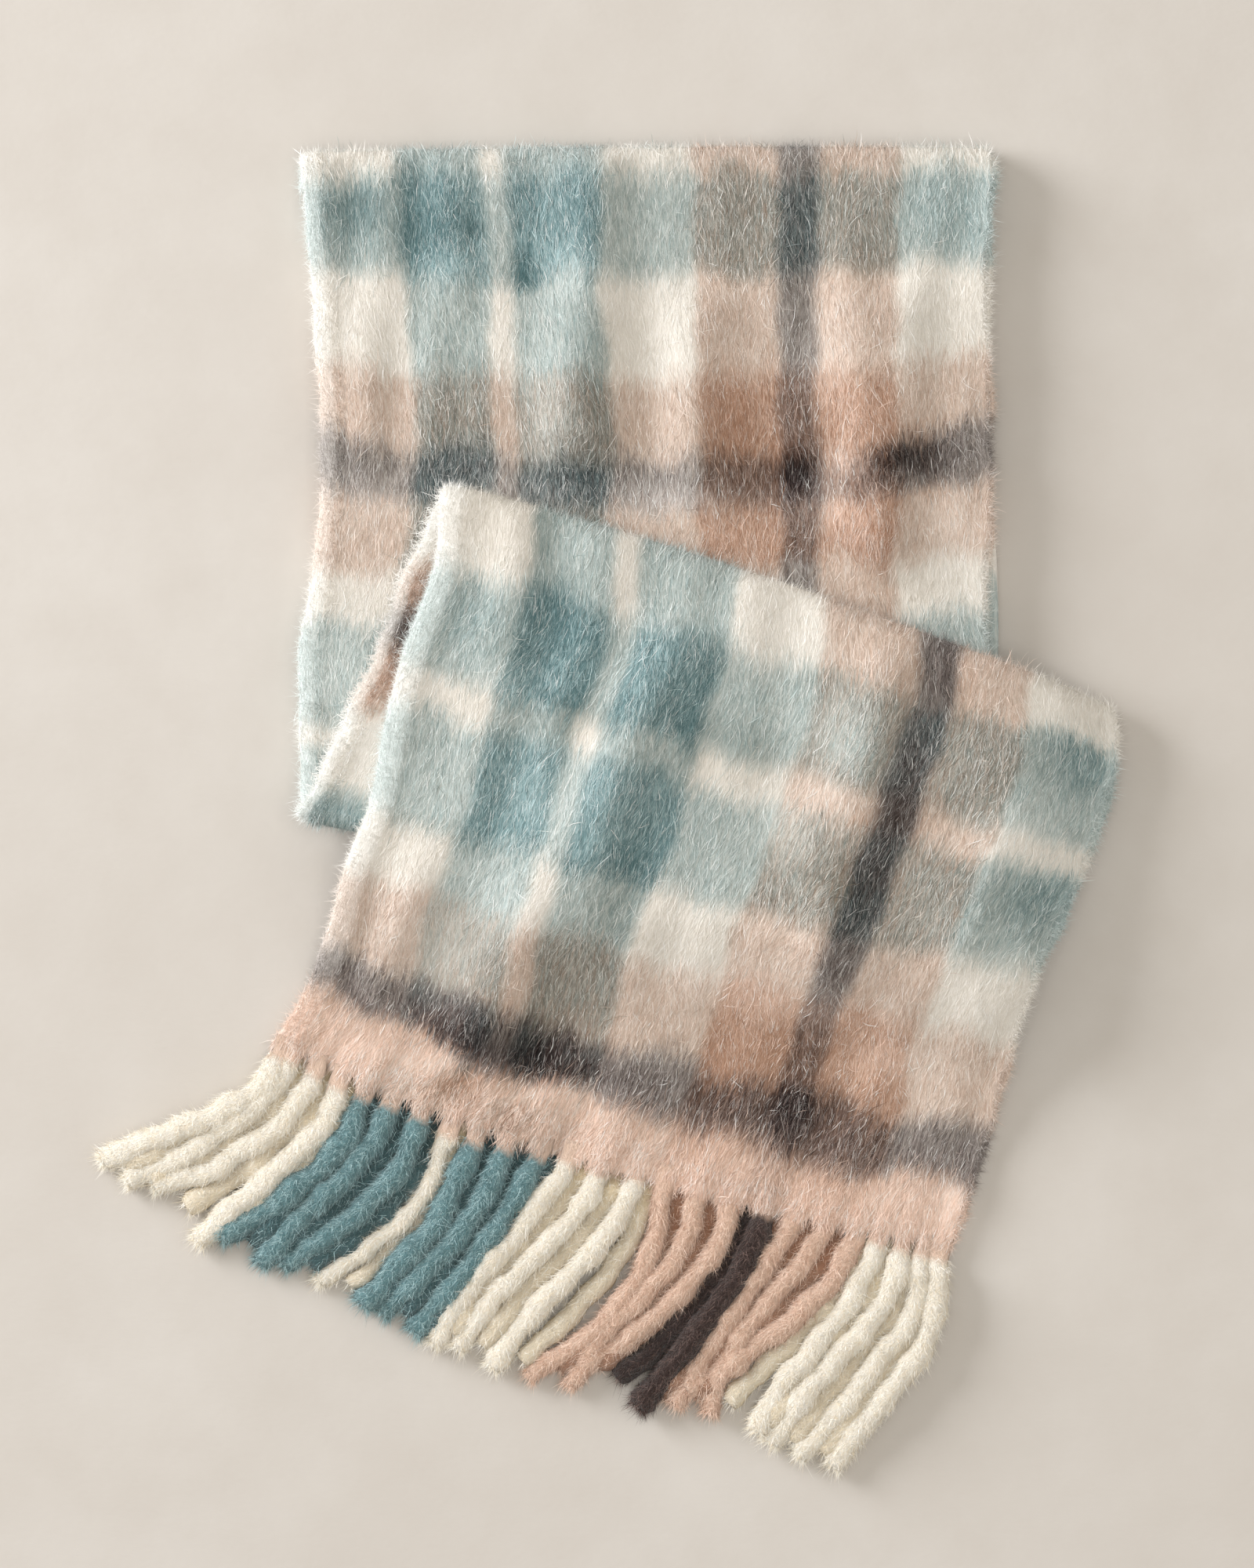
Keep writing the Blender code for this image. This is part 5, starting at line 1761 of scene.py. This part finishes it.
# Each stretch's nap: piece, fibres, seed, kind, how they lie, where on the ring and where in the plan
Nap = collections.namedtuple("Nap", "name count seed kind heading layers keep")
NAPS = {
    "back": (
        Nap("back_nap", 184000, 101, STRAIGHT, DOWN, SHOWN, keep_back),
        Nap("back_nap_curved", 22000, 102, CURVED, DOWN, SHOWN, keep_back),
        Nap("back_nap_long", 4500, 103, LONG, DOWN, SHOWN, keep_back),
        Nap("back_nap_fold", 7000, 104, EDGE, OUT, ("nose",), keep_back),
        Nap("back_nap_edge", 9000, 106, EDGE, OUT, ("edge", "lap"), keep_back),
    ),
    "middle": (
        Nap("middle_nap", 14000, 105, STRAIGHT, DOWN, SHOWN, keep_middle),
        Nap("middle_nap_rim", 6000, 115, TUFT, OUT, ("nose",), keep_middle),
    ),
    "front": (
        Nap("front_nap", 192000, 107, STRAIGHT, DOWN, SHOWN, keep_all),
        Nap("front_nap_curved", 24000, 108, CURVED, DOWN, SHOWN, keep_all),
        Nap("front_nap_long", 5000, 109, LONG, DOWN, SHOWN, keep_all),
        Nap("front_nap_fold", 8000, 110, EDGE, OUT, ("nose",), keep_all),
        Nap("front_nap_edge", 9000, 112, EDGE, OUT, ("edge", "lap"), keep_all),
        Nap("front_nap_hem", 9500, 111, CURVED, HEMWARD, SHOWN, keep_hem),
    ),
}
PLAIDS = {
    "back": (BACK_WEFT, BACK_RIM, NO_COVERING),
    "middle": (MIDDLE_WEFT, MIDDLE_RIM, MIDDLE_COVERING),
    "front": (FRONT_WEFT, FRONT_RIM, HEM_COVERING),
}


def main():
    add_camera()
    add_floor()
    add_lights()
    left, right = row_ends(HEM)
    span = np.linalg.norm(right - left)
    roots = [(from_view(strand.root_x, strand.root_y) - left) @ row_across(HEM) / span for strand in STRANDS]
    stretches = {"back": back_sections(), "middle": middle_sections(), "front": front_sections(roots)}
    ground = {part: ground_material(f"brushed_plaid_{part}", *plaid) for part, plaid in PLAIDS.items()}
    nap = {part: nap_material(f"nap_{part}", *plaid) for part, plaid in PLAIDS.items()}
    for part, stretch in stretches.items():
        shell = closed_shell(f"{part}_cloth", stretch, ground[part])
        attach(shell, "root")
        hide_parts(f"{part}_stretch")
    hidden = hidden_piece(ground["back"])
    naps = {part: [nap_piece(stretches[part], row, nap[part]) for row in rows] for part, rows in NAPS.items()}
    strands = list(enumerate(fringe_strands()))
    fringe_pieces = []
    for node, colour in NODE_COLOUR.items():
        own = [(number, *entry[1:]) for number, entry in strands if entry[0] == node]
        fringe_pieces += fringe_piece(node, own, roving[colour], fuzz[colour])


roving = {name: strand_material(name) for name in YARNS}
fuzz = {name: fuzz_material(name) for name in YARNS}
main()
